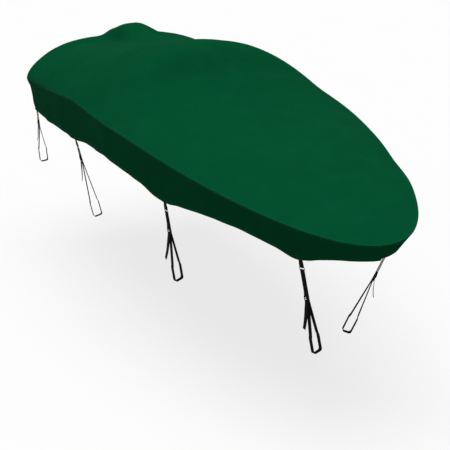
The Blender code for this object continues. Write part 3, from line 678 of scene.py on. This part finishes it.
def hanging_strip(name, first, last, tuck_ends):
    """A strip between the fold and the hem: its top edge tucked in behind the top panel, its hem turned up inside."""
    inner = np.arange(math.ceil((first + 0.002) / STEP), math.floor((last - 0.002) / STEP) + 1) * STEP
    s = np.concatenate(([first], inner, [last]))
    tuck = np.zeros(len(s))
    if tuck_ends:
        # The ends run on behind the skirt's ends.
        lap = 0.012
        s = np.concatenate(([first - lap, first - 0.0015], s[:1] + 0.0015, s[1:-1], s[-1:] - 0.0015, [last + 0.0015, last + lap]))
        tuck = np.zeros(len(s))
        tuck[[0, 1, -2, -1]] = 0.0019
    x, y, nx, ny = plan_at(s)
    fold = fold_of(x, y, nx, ny)
    depth = fold[:, 2] - hem_of(x, y)
    lean_top = along(EDGES, 2, x) / along(EDGES, 1, x)
    columns = len(s)
    outward = np.stack((nx, ny, np.zeros(columns)), -1)

    def row(below, inset):
        """Points at one distance under the fold, set in from the outer face."""
        below = np.broadcast_to(below, (columns,))
        place = skirt_of(x, y, nx, ny, fold[:, 2] - below)
        relief = skirt_relief(s, below, depth)
        groove = -0.0003 * bell(depth - below - HEM_SEW, 0.0012)
        rise = np.minimum(below, 0.0)
        offset = relief + groove - inset - tuck + np.where(rise < 0, -rise * lean_top, 0.0)
        return place + outward * offset[:, None] + np.stack((0 * x, 0 * x, -rise * 0), -1)

    outer = []
    outer.append((-0.0090, 0.0019))
    outer.append((-0.0004, 0.0019))
    outer.append((0.0012, 0.0006))
    outer.append((0.0040, 0.0))
    shares = np.linspace(0, 1, 15)[1:]
    last_free = depth - HEM_WIDE - 0.004
    for share in shares:
        outer.append((0.0040 + (last_free - 0.0040) * share, 0.0))
    for up in (HEM_WIDE, HEM_SEW + 0.0024, HEM_SEW, HEM_SEW - 0.0024, 0.010, 0.004, 0.0007):
        outer.append((depth - up, 0.0))
    turned = [(depth - 0.0001, 0.0003), (depth, 0.0010), (depth - 0.0001, 0.0017)]
    inside = []
    for up in (0.0007, 0.004, 0.010, HEM_SEW - 0.0024, HEM_SEW, HEM_SEW + 0.0024, HEM_WIDE):
        inside.append((depth - up, CLOTH))
    inside.append((depth - HEM_WIDE - 0.0008, TOP_CLOTH))
    for share in shares[::-1]:
        inside.append((0.0040 + (last_free - 0.0040) * share, TOP_CLOTH))
    inside += [(0.0040, TOP_CLOTH), (0.0012, 0.0018), (-0.0004, 0.0019 + TOP_CLOTH), (-0.0090, 0.0019 + TOP_CLOTH)]
    profile = outer + turned + inside
    rows = [row(below, inset) for below, inset in profile]
    # The part behind the top panel rises above the fold.
    for j, (below, _) in enumerate(profile):
        if np.isscalar(below) and below < 0:
            rows[j][:, 2] = fold[:, 2] - below
    grid = np.stack(rows, 1)
    count = grid.shape[1]
    index = np.arange(columns * count).reshape(columns, count)
    ring = np.concatenate((index, index[:, :1]), 1)
    faces = grid_faces(ring)
    faces = [f[::-1] for f in faces]
    faces.append(index[0].tolist())
    faces.append(index[-1][::-1].tolist())
    below = np.stack([np.broadcast_to(b, (columns,)) for b, _ in profile], 1)
    up = depth[:, None] - below
    worn = 0.40 * bell(up - 0.002, 0.006) + 0.16 * bell(up - HEM_SEW, 0.004)
    worn = worn * (0.7 + 0.3 * ripple(s, (57, 91), (0.4, 1.1)))[:, None]
    uvs = np.stack((np.broadcast_to(s[:, None], below.shape), below), -1)
    piece = make(name, grid.reshape(-1, 3), faces, GREEN, uvs=uvs.reshape(-1, 2), wear=np.clip(worn, 0, 1).ravel(), sharp=50.0)
    body = bmesh.new()
    body.from_mesh(piece.data)
    bmesh.ops.recalc_face_normals(body, faces=body.faces)
    body.to_mesh(piece.data)
    body.free()
    face_rows = len(outer)
    return piece, s, grid[:, :face_rows], depth, below[:, :face_rows]


# ---------------------------------------------------------------- stitching
def stitch_mesh(name, centres, tangents, normals, look, long=STITCH_LONG, radius=STITCH_RADIUS):
    """One thread stitch at each centre: it comes up through the cloth, runs along and dips back in."""
    centres, tangents, normals = (np.asarray(a, float) for a in (centres, tangents, normals))
    tangents = tangents / np.linalg.norm(tangents, axis=1, keepdims=True)
    normals = normals - tangents * (normals * tangents).sum(1, keepdims=True)
    normals = normals / np.linalg.norm(normals, axis=1, keepdims=True)
    sides = np.cross(tangents, normals)
    verts = [centres - tangents * long / 2 - normals * radius * 0.5]
    for share in (-0.30, 0.30):
        for a, b in ((1, 0), (0, 1), (-1, 0), (0, -1)):
            verts.append(centres + tangents * long * share + sides * radius * a + normals * radius * (b + 0.25))
    verts.append(centres + tangents * long / 2 - normals * radius * 0.5)
    points = np.stack(verts, 1)
    faces = []
    for n in range(len(centres)):
        o = n * 10
        for j in range(4):
            k = (j + 1) % 4
            faces.append((o, o + 1 + j, o + 1 + k))
            faces.append((o + 1 + j, o + 5 + j, o + 5 + k, o + 1 + k))
            faces.append((o + 9, o + 5 + k, o + 5 + j))
    uvs = np.zeros((len(centres) * 10, 2))
    return make(name, points.reshape(-1, 3), faces, look, uvs=uvs, sharp=None)


def spaced_rows(line, normals, closed, pitch=STITCH_PITCH):
    """Evenly spaced places along a line of points, with the line's direction and the surface's normal."""
    if closed:
        line, normals = np.vstack((line, line[:1])), np.vstack((normals, normals[:1]))
    run = np.concatenate(([0.0], np.cumsum(np.linalg.norm(np.diff(line, axis=0), axis=1))))
    count = max(int(run[-1] / pitch), 1)
    want = (np.arange(count) + 0.5) * run[-1] / count

    def read(rows, at):
        return np.stack([np.interp(at, run, rows[:, i]) for i in range(3)], -1)

    ahead = read(line, np.minimum(want + 0.001, run[-1])) - read(line, np.maximum(want - 0.001, 0.0))
    return read(line, want), ahead, read(normals, want)


def row_at(grid, normals, distance, want):
    """The line over a grid of columns at one distance along them."""
    line, out = [], []
    for k in range(len(grid)):
        order = np.argsort(distance[k], kind="stable")
        line.append([np.interp(want, distance[k][order], grid[k][order, i]) for i in range(3)])
        out.append([np.interp(want, distance[k][order], normals[k][order, i]) for i in range(3)])
    return np.array(line), np.array(out)


# ---------------------------------------------------------------- webbing
def smoother(points, widths, rounds=2):
    """Cuts the corners of a line, which rounds its bends."""
    for _ in range(rounds):
        p, w = [points[0]], [widths[0]]
        for a, b, wa, wb in zip(points, points[1:], widths, widths[1:]):
            p += [a.lerp(b, 0.25), a.lerp(b, 0.75)]
            w += [wa.lerp(wb, 0.25), wa.lerp(wb, 0.75)]
        p.append(points[-1])
        w.append(widths[-1])
        points, widths = p, w
    return points, widths


def split_long(points, widths, longest=0.012):
    """Adds points along straight stretches, so that the webbing can wave and twist a little there."""
    p, w = [points[0]], [widths[0]]
    for a, b, wa, wb in zip(points, points[1:], widths, widths[1:]):
        count = max(1, math.ceil((b - a).length / longest))
        for n in range(1, count + 1):
            p.append(a.lerp(b, n / count))
            w.append(wa.lerp(wb, n / count))
    return p, w


# Across the webbing, as shares of its half width and half thickness: thinner selvedges.
SECTION = ((-1.0, 0.0), (-0.94, 0.78), (-0.6, 1.0), (0.0, 1.0), (0.6, 1.0), (0.94, 0.78), (1.0, 0.0), (0.94, -0.78), (0.6, -1.0), (0.0, -1.0), (-0.6, -1.0), (-0.94, -0.78))


def webbing(name, points, widths):
    """A flat woven band along a line of points, with its pattern laid out in metres."""
    verts, uvs, faces = [], [], []
    last, run, per = len(points) - 1, 0.0, len(SECTION)
    for i, point in enumerate(points):
        a, b = points[max(i - 1, 0)], points[min(i + 1, last)]
        if i:
            run += (point - points[i - 1]).length
        tangent = (b - a).normalized()
        if 0 < i < last:
            before, after = (point - a).normalized(), (b - point).normalized()
            tangent = (before + after).normalized()
        wide = (widths[i] - tangent * widths[i].dot(tangent)).normalized()
        thick = tangent.cross(wide)
        for across, up in SECTION:
            verts.append(point + wide * (across * WEBBING / 2) + thick * (up * WEB_THICK / 2))
            uvs.append((across * WEBBING / 2, run))
    for i in range(last):
        for j in range(per):
            a, b = i * per + j, i * per + (j + 1) % per
            faces.append((a, a + per, b + per, b))
    faces.append(tuple(range(per)))
    faces.append(tuple(last * per + j for j in reversed(range(per))))
    piece = make(name, [tuple(v) for v in verts], faces, BLACK_WEB, uvs=uvs, sharp=60.0)
    body = bmesh.new()
    body.from_mesh(piece.data)
    bmesh.ops.recalc_face_normals(body, faces=body.faces)
    body.to_mesh(piece.data)
    body.free()
    return piece


def wire_ring(name, centre, across, down):
    """The bent and welded wire ring that joins tab and strap."""
    path = []
    for sx, sy, start in ((1, -1, 0), (1, 1, 90), (-1, 1, 180), (-1, -1, 270)):
        cx, cy = sx * (RING_WIDE / 2 - RING_BEND), sy * (RING_HIGH / 2 - RING_BEND)
        for n in range(7):
            t = math.radians(start - 90 + 15 * n)
            path.append((cx + RING_BEND * math.cos(t), cy + RING_BEND * math.sin(t)))
    normal = across.cross(down).normalized()
    verts, faces, sides, count = [], [], 14, len(path)
    for i, (u, v) in enumerate(path):
        here = centre + across * u + down * v
        pu, pv = path[i - 1]
        nu, nv = path[(i + 1) % count]
        tangent = (across * (nu - pu) + down * (nv - pv)).normalized()
        side = tangent.cross(normal).normalized()
        for s in range(sides):
            a = 2 * math.pi * s / sides
            verts.append(here + side * (WIRE * math.cos(a)) + normal * (WIRE * math.sin(a)))
    for i in range(count):
        n = (i + 1) % count
        for s in range(sides):
            t = (s + 1) % sides
            faces.append((i * sides + s, i * sides + t, n * sides + t, n * sides + s))
    # The weld: a slight bead round the wire on the lower side.
    weld_at = centre + down * (RING_HIGH / 2) + across * 0.004
    base = len(verts)
    for step, (shift, swell) in enumerate(((-0.0016, 1.0), (-0.0008, 1.10), (0.0, 1.14), (0.0008, 1.10), (0.0016, 1.0))):
        for s in range(sides):
            a = 2 * math.pi * s / sides
            verts.append(weld_at + across * shift + down * (WIRE * swell * math.cos(a)) + normal * (WIRE * swell * math.sin(a)))
    for step in range(4):
        for s in range(sides):
            t = (s + 1) % sides
            a = base + step * sides
            faces.append((a + s, a + t, a + sides + t, a + sides + s))
    faces.append(tuple(base + s for s in range(sides)))
    faces.append(tuple(base + 4 * sides + s for s in reversed(range(sides))))
    piece = make(name, [tuple(v) for v in verts], faces, STEEL, sharp=None)
    body = bmesh.new()
    body.from_mesh(piece.data)
    bmesh.ops.recalc_face_normals(body, faces=body.faces)
    body.to_mesh(piece.data)
    body.free()
    return piece


def buckle(name, centre, across, down, out):
    """A moulded ladder buckle: side rails, rounded bars and grip ribs on the two end bars."""
    outer, inner = BUCKLE_WIDE / 2, BUCKLE_WIDE / 2 - 0.0035
    us = (-outer, -inner, 0.0, inner, outer)
    bow = (0.0, 0.0004, 0.0006, 0.0006, 0.0004, 0.0)
    verts, faces = [], []
    for layer in (-0.5, 0.5):
        for v, out_by in zip(BUCKLE_BARS, bow):
            for u in us:
                narrow = 1 - (0.03 if v in (BUCKLE_BARS[0], BUCKLE_BARS[-1]) else 0.0) * (abs(u) > inner)
                verts.append(centre + across * (u * narrow) + down * v + out * (layer * BUCKLE_THICK + 0 * out_by))
    wide = len(us)
    per = wide * len(BUCKLE_BARS)

    def at(layer, row, col):
        return layer * per + row * wide + col

    solid = {(r, c) for r in range(5) for c in range(4)} - {(1, 1), (1, 2), (3, 1), (3, 2)}
    for r, c in solid:
        faces.append((at(1, r, c), at(1, r + 1, c), at(1, r + 1, c + 1), at(1, r, c + 1)))
        faces.append((at(0, r, c), at(0, r, c + 1), at(0, r + 1, c + 1), at(0, r + 1, c)))
        for dr, dc, a, b in ((-1, 0, (0, 0), (0, 1)), (1, 0, (1, 0), (1, 1)), (0, -1, (0, 0), (1, 0)), (0, 1, (0, 1), (1, 1))):
            if (r + dr, c + dc) not in solid:
                low = [at(0, r + a[0], c + a[1]), at(0, r + b[0], c + b[1])]
                high = [at(1, r + b[0], c + b[1]), at(1, r + a[0], c + a[1])]
                faces.append(tuple(low + high))
    # Grip ribs across the two end bars.
    for q in (0.0018, 0.0272):
        for n in range(7):
            u = (n - 3) * 0.0042
            start = len(verts)
            for du, dq, lift in ((-0.0005, -0.0012, 0.0), (0.0005, -0.0012, 0.0), (0.0005, 0.0012, 0.0), (-0.0005, 0.0012, 0.0)):
                verts.append(centre + across * (u + du) + down * (q + dq) + out * (0.5 * BUCKLE_THICK - 0.0002))
            for du, dq in ((-0.0003, -0.0010), (0.0003, -0.0010), (0.0003, 0.0010), (-0.0003, 0.0010)):
                verts.append(centre + across * (u + du) + down * (q + dq) + out * (0.5 * BUCKLE_THICK + 0.0004))
            faces.append((start, start + 1, start + 2, start + 3))
            faces.append((start + 4, start + 7, start + 6, start + 5))
            for j in range(4):
                k = (j + 1) % 4
                faces.append((start + j, start + 4 + j, start + 4 + k, start + k))
    piece = make(name, [tuple(v) for v in verts], faces, PLASTIC, sharp=None)
    body = bmesh.new()
    body.from_mesh(piece.data)
    bmesh.ops.recalc_face_normals(body, faces=body.faces)
    body.to_mesh(piece.data)
    body.free()
    rounded = piece.modifiers.new("rounded", "BEVEL")
    rounded.width, rounded.segments, rounded.limit_method = 0.0007, 3, "ANGLE"
    rounded.angle_limit = math.radians(35)
    rounded.use_clamp_overlap = True
    piece.data.shade_smooth()
    piece.data.set_sharp_from_angle(angle=math.radians(45))
    return piece


# ---------------------------------------------------------------- CAD outline, which places the tie-downs
FIRST_SIDE = 13


def cad_outline():
    half = []
    straight = HALF_TRANSOM - CORNER_RADIUS
    for share in (0.0, 0.15, 0.30, 0.45, 0.59, 0.72, 0.84, 0.93):
        half.append((X_STERN, -straight * share))
    for k in range(5):
        a = math.pi / 2 * k / 4
        half.append((X_STERN + CORNER_RADIUS * (1 - math.cos(a)), -straight - CORNER_RADIUS * math.sin(a)))
    aft = X_STERN + CORNER_RADIUS
    fine = aft + (X_BOW - aft) * (1 - (1 - np.arange(4001) / 4000) ** 2)
    breadth = half_breadth(fine)
    run = np.concatenate(([0.0], np.cumsum(np.hypot(np.diff(fine), np.diff(breadth)))))
    count = 35
    for n in range(1, count + 1):
        want = run[-1] * (n / count + 0.05 * math.sin(math.pi * n / count))
        k = min(int(np.searchsorted(run, want)), len(run) - 1)
        half.append((float(fine[k]), -float(breadth[k])))
    for x in sorted({tie[2] for tie in TIES}):
        k = min(range(FIRST_SIDE, len(half)), key=lambda i: abs(half[i][0] - x))
        half[k] = (x, -float(half_breadth(x)))
    return half + [(x, -y + float(bulge(x))) for x, y in reversed(half[1:-1])], len(half)


CAD_PLAN, CAD_HALF = cad_outline()
CAD_COUNT = len(CAD_PLAN)


def cad_skirt_point(k, up=0.0):
    """The skirt's outer face above the hem at one of the CAD outline's points."""
    (x0, y0), (x, y), (x1, y1) = (CAD_PLAN[(k + i) % CAD_COUNT] for i in (-1, 0, 1))
    size = math.hypot(x1 - x0, y1 - y0)
    nx, ny = (y1 - y0) / size, -(x1 - x0) / size
    return Vector(skirt_of(np.float64(x), np.float64(y), nx, ny, float(hem_of(x, y)) + up))


def half_turn(centre, radius, start, end, count):
    """Points of an arc in (down, out) coordinates, angles in degrees from straight down towards out."""
    return [
        (
            centre[0] + radius * math.cos(math.radians(start + (end - start) * i / count)),
            centre[1] + radius * math.sin(math.radians(start + (end - start) * i / count)),
        )
        for i in range(count + 1)
    ]


def tie_down(tie):
    """Tab, ring, strap and buckle of one tie-down, on the CAD's route."""
    name, side_sign, station, loop, turn_degrees, bar, tab, drop_to_buckle, tail, sway = tie
    near = min(range(FIRST_SIDE, CAD_HALF), key=lambda k: abs(CAD_PLAN[k][0] - station))
    if side_sign > 0:
        near = CAD_COUNT - near
    before, hem, after = (cad_skirt_point(k).xy for k in (near - 1, near, near + 1))
    run_in, run_out = (hem - before).normalized(), (after - hem).normalized()
    bend = run_in.angle(run_out) / 2
    nx, ny = (run_in + run_out).normalized().yx * Vector((1.0, -1.0))
    out = Vector((nx, ny, 0.0))
    hem = cad_skirt_point(near)
    above = cad_skirt_point(near, TAB_SEWN)
    slope = (hem - above).normalized()
    inward = slope.cross(Vector((-ny, nx, 0.0))).normalized()
    if inward.dot(out) > 0:
        inward = -inward
    bottom = Vector((loop[0], side_sign * loop[1], loop[2]))
    tangent = Vector((-ny, nx, 0.0))
    if tangent.x < 0:
        tangent = -tangent
    turn = math.radians(turn_degrees)
    bar_along = Vector((math.cos(turn), -side_sign * math.sin(turn), 0.0))
    layer = WEB_THICK / 2 + 0.0004
    tuck = CLOTH + 0.0012 + WEB_THICK / 2 + WEBBING / 2 * math.tan(bend)
    start = hem + inward * (tuck + layer)
    down = (bottom - start).normalized()
    reach = (bottom - start).length

    def frame_at(q):
        t = min(max(q / reach, 0.0), 1.0)
        wide = (tangent * (1 - t) + bar_along * t).normalized()
        wide = (wide - down * wide.dot(down)).normalized()
        side = wide.cross(down).normalized()
        if side.dot(out) < 0:
            side = -side
        return start + down * q, side, wide

    def place(flat):
        points, widths = [], []
        for q, p in flat:
            point, side, wide = frame_at(q)
            points.append(point + side * p)
            widths.append(wide)
        return points, widths

    lap = WIRE + WEB_THICK / 2 + 0.0006
    upper, lower = tab, tab + RING_HIGH

    flat = [(0.006, layer), (upper - 0.020, lap)]
    flat += half_turn((upper, 0.0), lap, 90, -90, 9)
    flat += [(upper - 0.020, -lap), (0.006, -layer)]
    points, widths = place(flat)
    _, _, wide0 = frame_at(0.0)
    outer_line = [above + inward * tuck, hem - slope * 0.002 + inward * tuck]
    inner_line = [p + inward * (2 * layer) for p in outer_line]
    points = outer_line + points + inner_line[::-1]
    widths = [wide0] * 2 + widths + [wide0] * 2
    points, widths = smoother(*split_long(points, widths, 0.008), 1)
    tab_piece = webbing("tab_web_" + name, points, widths)
    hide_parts("tab_" + name)

    here, _, wide = frame_at(upper + RING_HIGH / 2)
    ring_piece = wire_ring("ring_wire_" + name, here, wide, down)
    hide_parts("ring_" + name)

    buckle_q = lower + drop_to_buckle
    buckle_p = 0.0046
    here, side, wide = frame_at(buckle_q)
    buckle_piece = buckle("buckle_frame_" + name, here + side * buckle_p, wide, down, side)
    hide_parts("buckle_" + name)

    grip = BUCKLE_THICK / 2 + WEB_THICK / 2 + 0.0006
    top_bar = buckle_q + (BUCKLE_BARS[0] + BUCKLE_BARS[1]) / 2
    low_bar = buckle_q + (BUCKLE_BARS[4] + BUCKLE_BARS[5]) / 2
    spread = bar / 2 + WEB_THICK
    turn_in = 0.010
    flat = [(top_bar - 0.026, 0.0008), (top_bar - 0.010, buckle_p - grip + 0.0002)]
    flat += half_turn((top_bar, buckle_p), grip + 0.0012, -90, 90, 8)[1:-1]
    flat += [(top_bar - 0.008, buckle_p + grip), (top_bar - 0.030, buckle_p - 0.0004)]
    flat += half_turn((lower, 0.0), lap, 90, 270, 9)
    back = -0.0026
    flat += [(lower + 0.012, back - 0.0002), (buckle_q - 0.006, back), (low_bar + 0.006, back - 0.0008)]
    flat += [
        (reach - BAR_HIGH - 0.006, -spread + 0.004),
        (reach - BAR_HIGH + 0.006, -spread),
        (reach - turn_in, -spread),
        (reach - turn_in * 0.3, -spread + turn_in * 0.3),
        (reach, -spread + turn_in),
        (reach, spread - turn_in),
        (reach - turn_in * 0.3, spread - turn_in * 0.3),
        (reach - turn_in, spread),
        (reach - BAR_HIGH + 0.006, spread),
        (reach - BAR_HIGH - 0.006, spread - 0.004),
    ]
    flat += [(low_bar + 0.014, 0.0020)]
    flat += half_turn((low_bar, buckle_p), grip + 0.0010, 262, 90, 8)
    points, widths = place(flat)
    root = points[-1]
    _, side, wide = frame_at(low_bar)
    drift = Vector((sway[0], 0.0, 0.0)) + out * sway[1]
    for n in range(1, 9):
        t = n / 8
        point = root + down * (tail * t * 0.97) + drift * t**1.2 + side * (0.0022 * min(t * 4, 1.0))
        # The free end curls a little, and twists by a few degrees.
        point = point + side * (0.004 * max(t - 0.6, 0.0) ** 2 / 0.16)
        twisted = (wide + side * (0.22 * t * t)).normalized()
        points.append(point)
        widths.append(twisted)
    points, widths = smoother(*split_long(points, widths), 2)
    strap = webbing("strap_web_" + name, points, widths)
    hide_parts("strap_" + name)

    # Bar tacks where the strap is sewn on itself above the buckle, and on the tab above the ring.
    sewn = []
    for q, lift in ((top_bar - 0.018, buckle_p + 0.0012), (top_bar - 0.021, buckle_p + 0.0010)):
        here, side, wide = frame_at(q)
        for n in range(9):
            sewn.append((here + side * (lift + WEB_THICK / 2) + wide * ((n - 4) * 0.0024), wide, side))
    for q in (0.010, 0.013):
        here, side, wide = frame_at(q)
        rise = layer + (lap - layer) * (q - 0.006) / max(upper - 0.026, 0.004)
        for n in range(9):
            sewn.append((here + side * (rise + WEB_THICK / 2) + wide * ((n - 4) * 0.0024), wide, side))
    tacks = stitch_mesh(
        "tacks_" + name,
        [tuple(c) for c, _, _ in sewn],
        [tuple(t) for _, t, _ in sewn],
        [tuple(n) for _, _, n in sewn],
        BLACK_THREAD,
        0.0021,
        0.0004,
    )
    return strap, tacks


# ---------------------------------------------------------------- camera
camera = bpy.data.objects.new("camera", bpy.data.cameras.new("camera"))
bpy.context.collection.objects.link(camera)
camera.data.lens, camera.data.sensor_width = 120.0, 36.0
camera.data.clip_start, camera.data.clip_end = 0.1, 200.0
camera.location = Vector((9.4605, -3.3528, 2.5512)) + Vector(SHIFT)
camera.rotation_mode = "QUATERNION"
camera.rotation_quaternion = Vector((-0.85696, 0.36953, -0.35926)).to_track_quat("-Z", "Y")
bpy.context.scene.camera = camera

# ---------------------------------------------------------------- tie-downs, made first
for tie in TIES:
    tie_down(tie)

# ---------------------------------------------------------------- cloth
top, top_grid, top_normals, top_above = top_panel()
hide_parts("top_panel")

skirt, skirt_s, skirt_grid, skirt_depth, skirt_below = hanging_strip("cover_skirt", CORNER_RUN + 0.0006, ROUND - CORNER_RUN - 0.0006, False)
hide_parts("side_skirt")
transom, transom_s, transom_grid, transom_depth, transom_below = hanging_strip(
    "cover_transom", -CORNER_RUN + 0.0006, CORNER_RUN - 0.0006, True
)
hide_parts("transom_panel")

# ---------------------------------------------------------------- stitching on the cloth
centres, tangents, normals = [], [], []
for distance in (0.0032, 0.0098):
    line, out = row_at(top_grid, top_normals, top_above, distance)
    c, t, n = spaced_rows(line, out, True)
    centres.append(c), tangents.append(t), normals.append(n)
seam_stitches = stitch_mesh("stitch_seam", np.vstack(centres), np.vstack(tangents), np.vstack(normals), GREEN_THREAD)


def panel_normals(grid):
    n = grid_normals(grid, False)
    middle = np.array((ORIGIN_X, 0.0, 0.0))
    away = (grid - middle) * (1, 1, 0)
    return n * np.where((n * away).sum(-1, keepdims=True) < 0, -1.0, 1.0)


skirt_normals, transom_normals = panel_normals(skirt_grid), panel_normals(transom_grid)
centres, tangents, normals = [], [], []
for grid, out, depth, below, cut in (
    (skirt_grid, skirt_normals, skirt_depth, skirt_below, slice(None)),
    (transom_grid, transom_normals, transom_depth, transom_below, slice(2, -2)),
):
    line, facing = row_at(grid[cut], out[cut], (depth[:, None] - below)[cut], HEM_SEW)
    c, t, n = spaced_rows(line, facing, False)
    centres.append(c), tangents.append(t), normals.append(n)
# Two rows down each end of the skirt, over the transom panel's tucked edge.
for end, sign in ((0, 1), (-1, -1)):
    for inset in (0.003, 0.009):
        s = skirt_s[end] + sign * inset
        column = np.array([[np.interp(s, skirt_s, skirt_grid[:, j, i]) for i in range(3)] for j in range(3, skirt_grid.shape[1])])
        facing = np.array([[np.interp(s, skirt_s, skirt_normals[:, j, i]) for i in range(3)] for j in range(3, skirt_grid.shape[1])])
        c, t, n = spaced_rows(column, facing, False)
        centres.append(c), tangents.append(t), normals.append(n)
hem_stitches = stitch_mesh("stitch_hem", np.vstack(centres), np.vstack(tangents), np.vstack(normals), GREEN_THREAD)


def on_skirt(s, up):
    """A place on the skirt's outer face, a distance above the hem."""
    below = float(np.interp(s, skirt_s, skirt_depth)) - up
    k = int(np.clip(np.searchsorted(skirt_s, s) - 1, 0, len(skirt_s) - 2))
    t = (s - skirt_s[k]) / (skirt_s[k + 1] - skirt_s[k])
    found = []
    for rows in (skirt_grid, skirt_normals):
        a = [np.interp(below, skirt_below[k], rows[k, :, i]) for i in range(3)]
        b = [np.interp(below, skirt_below[k + 1], rows[k + 1, :, i]) for i in range(3)]
        found.append(np.array(a) * (1 - t) + np.array(b) * t)
    return found


# The box and cross that sews each tab behind the skirt.
centres, tangents, normals = [], [], []
half_wide, low, high = WEBBING / 2 - 0.002, 0.004, TAB_SEWN - 0.003
for s0 in TIE_RUNS:
    corners = [(-half_wide, low), (half_wide, low), (half_wide, high), (-half_wide, high)]
    for (a0, a1), (b0, b1) in [*zip(corners, corners[1:] + corners[:1]), (corners[0], corners[2]), (corners[1], corners[3])]:
        steps = [on_skirt(s0 + a0 + (b0 - a0) * t, a1 + (b1 - a1) * t) for t in np.linspace(0, 1, 8)]
        c, t, n = spaced_rows(np.array([p for p, _ in steps]), np.array([q for _, q in steps]), False, 0.0034)
        centres.append(c), tangents.append(t), normals.append(n)
box_stitches = stitch_mesh("stitch_tabs", np.vstack(centres), np.vstack(tangents), np.vstack(normals), GREEN_THREAD, 0.0027, 0.00040)

# ---------------------------------------------------------------- floor and light
floor_mesh = bpy.data.meshes.new("floor")
floor_mesh.from_pydata([(-40, -40, 0), (40, -40, 0), (40, 40, 0), (-40, 40, 0)], [], [(0, 1, 2, 3)])
floor = bpy.data.objects.new("floor", floor_mesh)
floor.location = (0.0, 0.0, -1.38)
bpy.context.collection.objects.link(floor)
pale, tree, shader = material("pale_floor", 0.9)
n = Nodes(tree)
tree.links.new(n.mix(n.noise(n.place(), 3.0, 3.0), rgb(0.92, 0.92, 0.92), rgb(0.97, 0.97, 0.97)), shader.inputs["Base Color"])
# What the camera sees of the floor is lifted, so that the shadow stays faint; what lights the cover from below isn't.
glow = tree.nodes.new("ShaderNodeEmission")
glow.inputs["Strength"].default_value = 1.0
lifted = tree.nodes.new("ShaderNodeMixShader")
lifted.inputs[0].default_value = 0.77
tree.links.new(shader.outputs[0], lifted.inputs[1])
tree.links.new(glow.outputs[0], lifted.inputs[2])
quiet = tree.nodes.new("ShaderNodeBsdfDiffuse")
quiet.inputs["Color"].default_value = rgb(0.27, 0.27, 0.27)
either = tree.nodes.new("ShaderNodeMixShader")
rays = tree.nodes.new("ShaderNodeLightPath")
tree.links.new(rays.outputs["Is Camera Ray"], either.inputs[0])
tree.links.new(quiet.outputs[0], either.inputs[1])
tree.links.new(lifted.outputs[0], either.inputs[2])
# Seen from underneath, the floor is clear.
sides = tree.nodes.new("ShaderNodeNewGeometry")
clear = tree.nodes.new("ShaderNodeBsdfTransparent")
one_way = tree.nodes.new("ShaderNodeMixShader")
tree.links.new(sides.outputs["Backfacing"], one_way.inputs[0])
tree.links.new(either.outputs[0], one_way.inputs[1])
tree.links.new(clear.outputs[0], one_way.inputs[2])
tree.links.new(one_way.outputs[0], tree.nodes["Material Output"].inputs["Surface"])
floor_mesh.materials.append(pale)

world = bpy.data.worlds.new("studio")
bpy.context.scene.world = world
world.use_nodes = True
world.node_tree.nodes["Background"].inputs[0].default_value = rgb(1.0, 1.0, 1.0)
world.node_tree.nodes["Background"].inputs[1].default_value = 0.25

for name, strength, spread, direction in (("overhead", 2.35, 55, (0.0, -0.07, 1.0)), ("front", 0.20, 40, (0.8, -0.7, 0.5))):
    lamp = bpy.data.lights.new(name, "SUN")
    lamp.energy, lamp.angle = strength, math.radians(spread)
    sun = bpy.data.objects.new(name, lamp)
    sun.rotation_mode = "QUATERNION"
    sun.rotation_quaternion = Vector(direction).to_track_quat("Z", "Y")
    bpy.context.collection.objects.link(sun)

bpy.context.scene.view_settings.view_transform = "Standard"
bpy.context.scene.view_settings.look = "None"
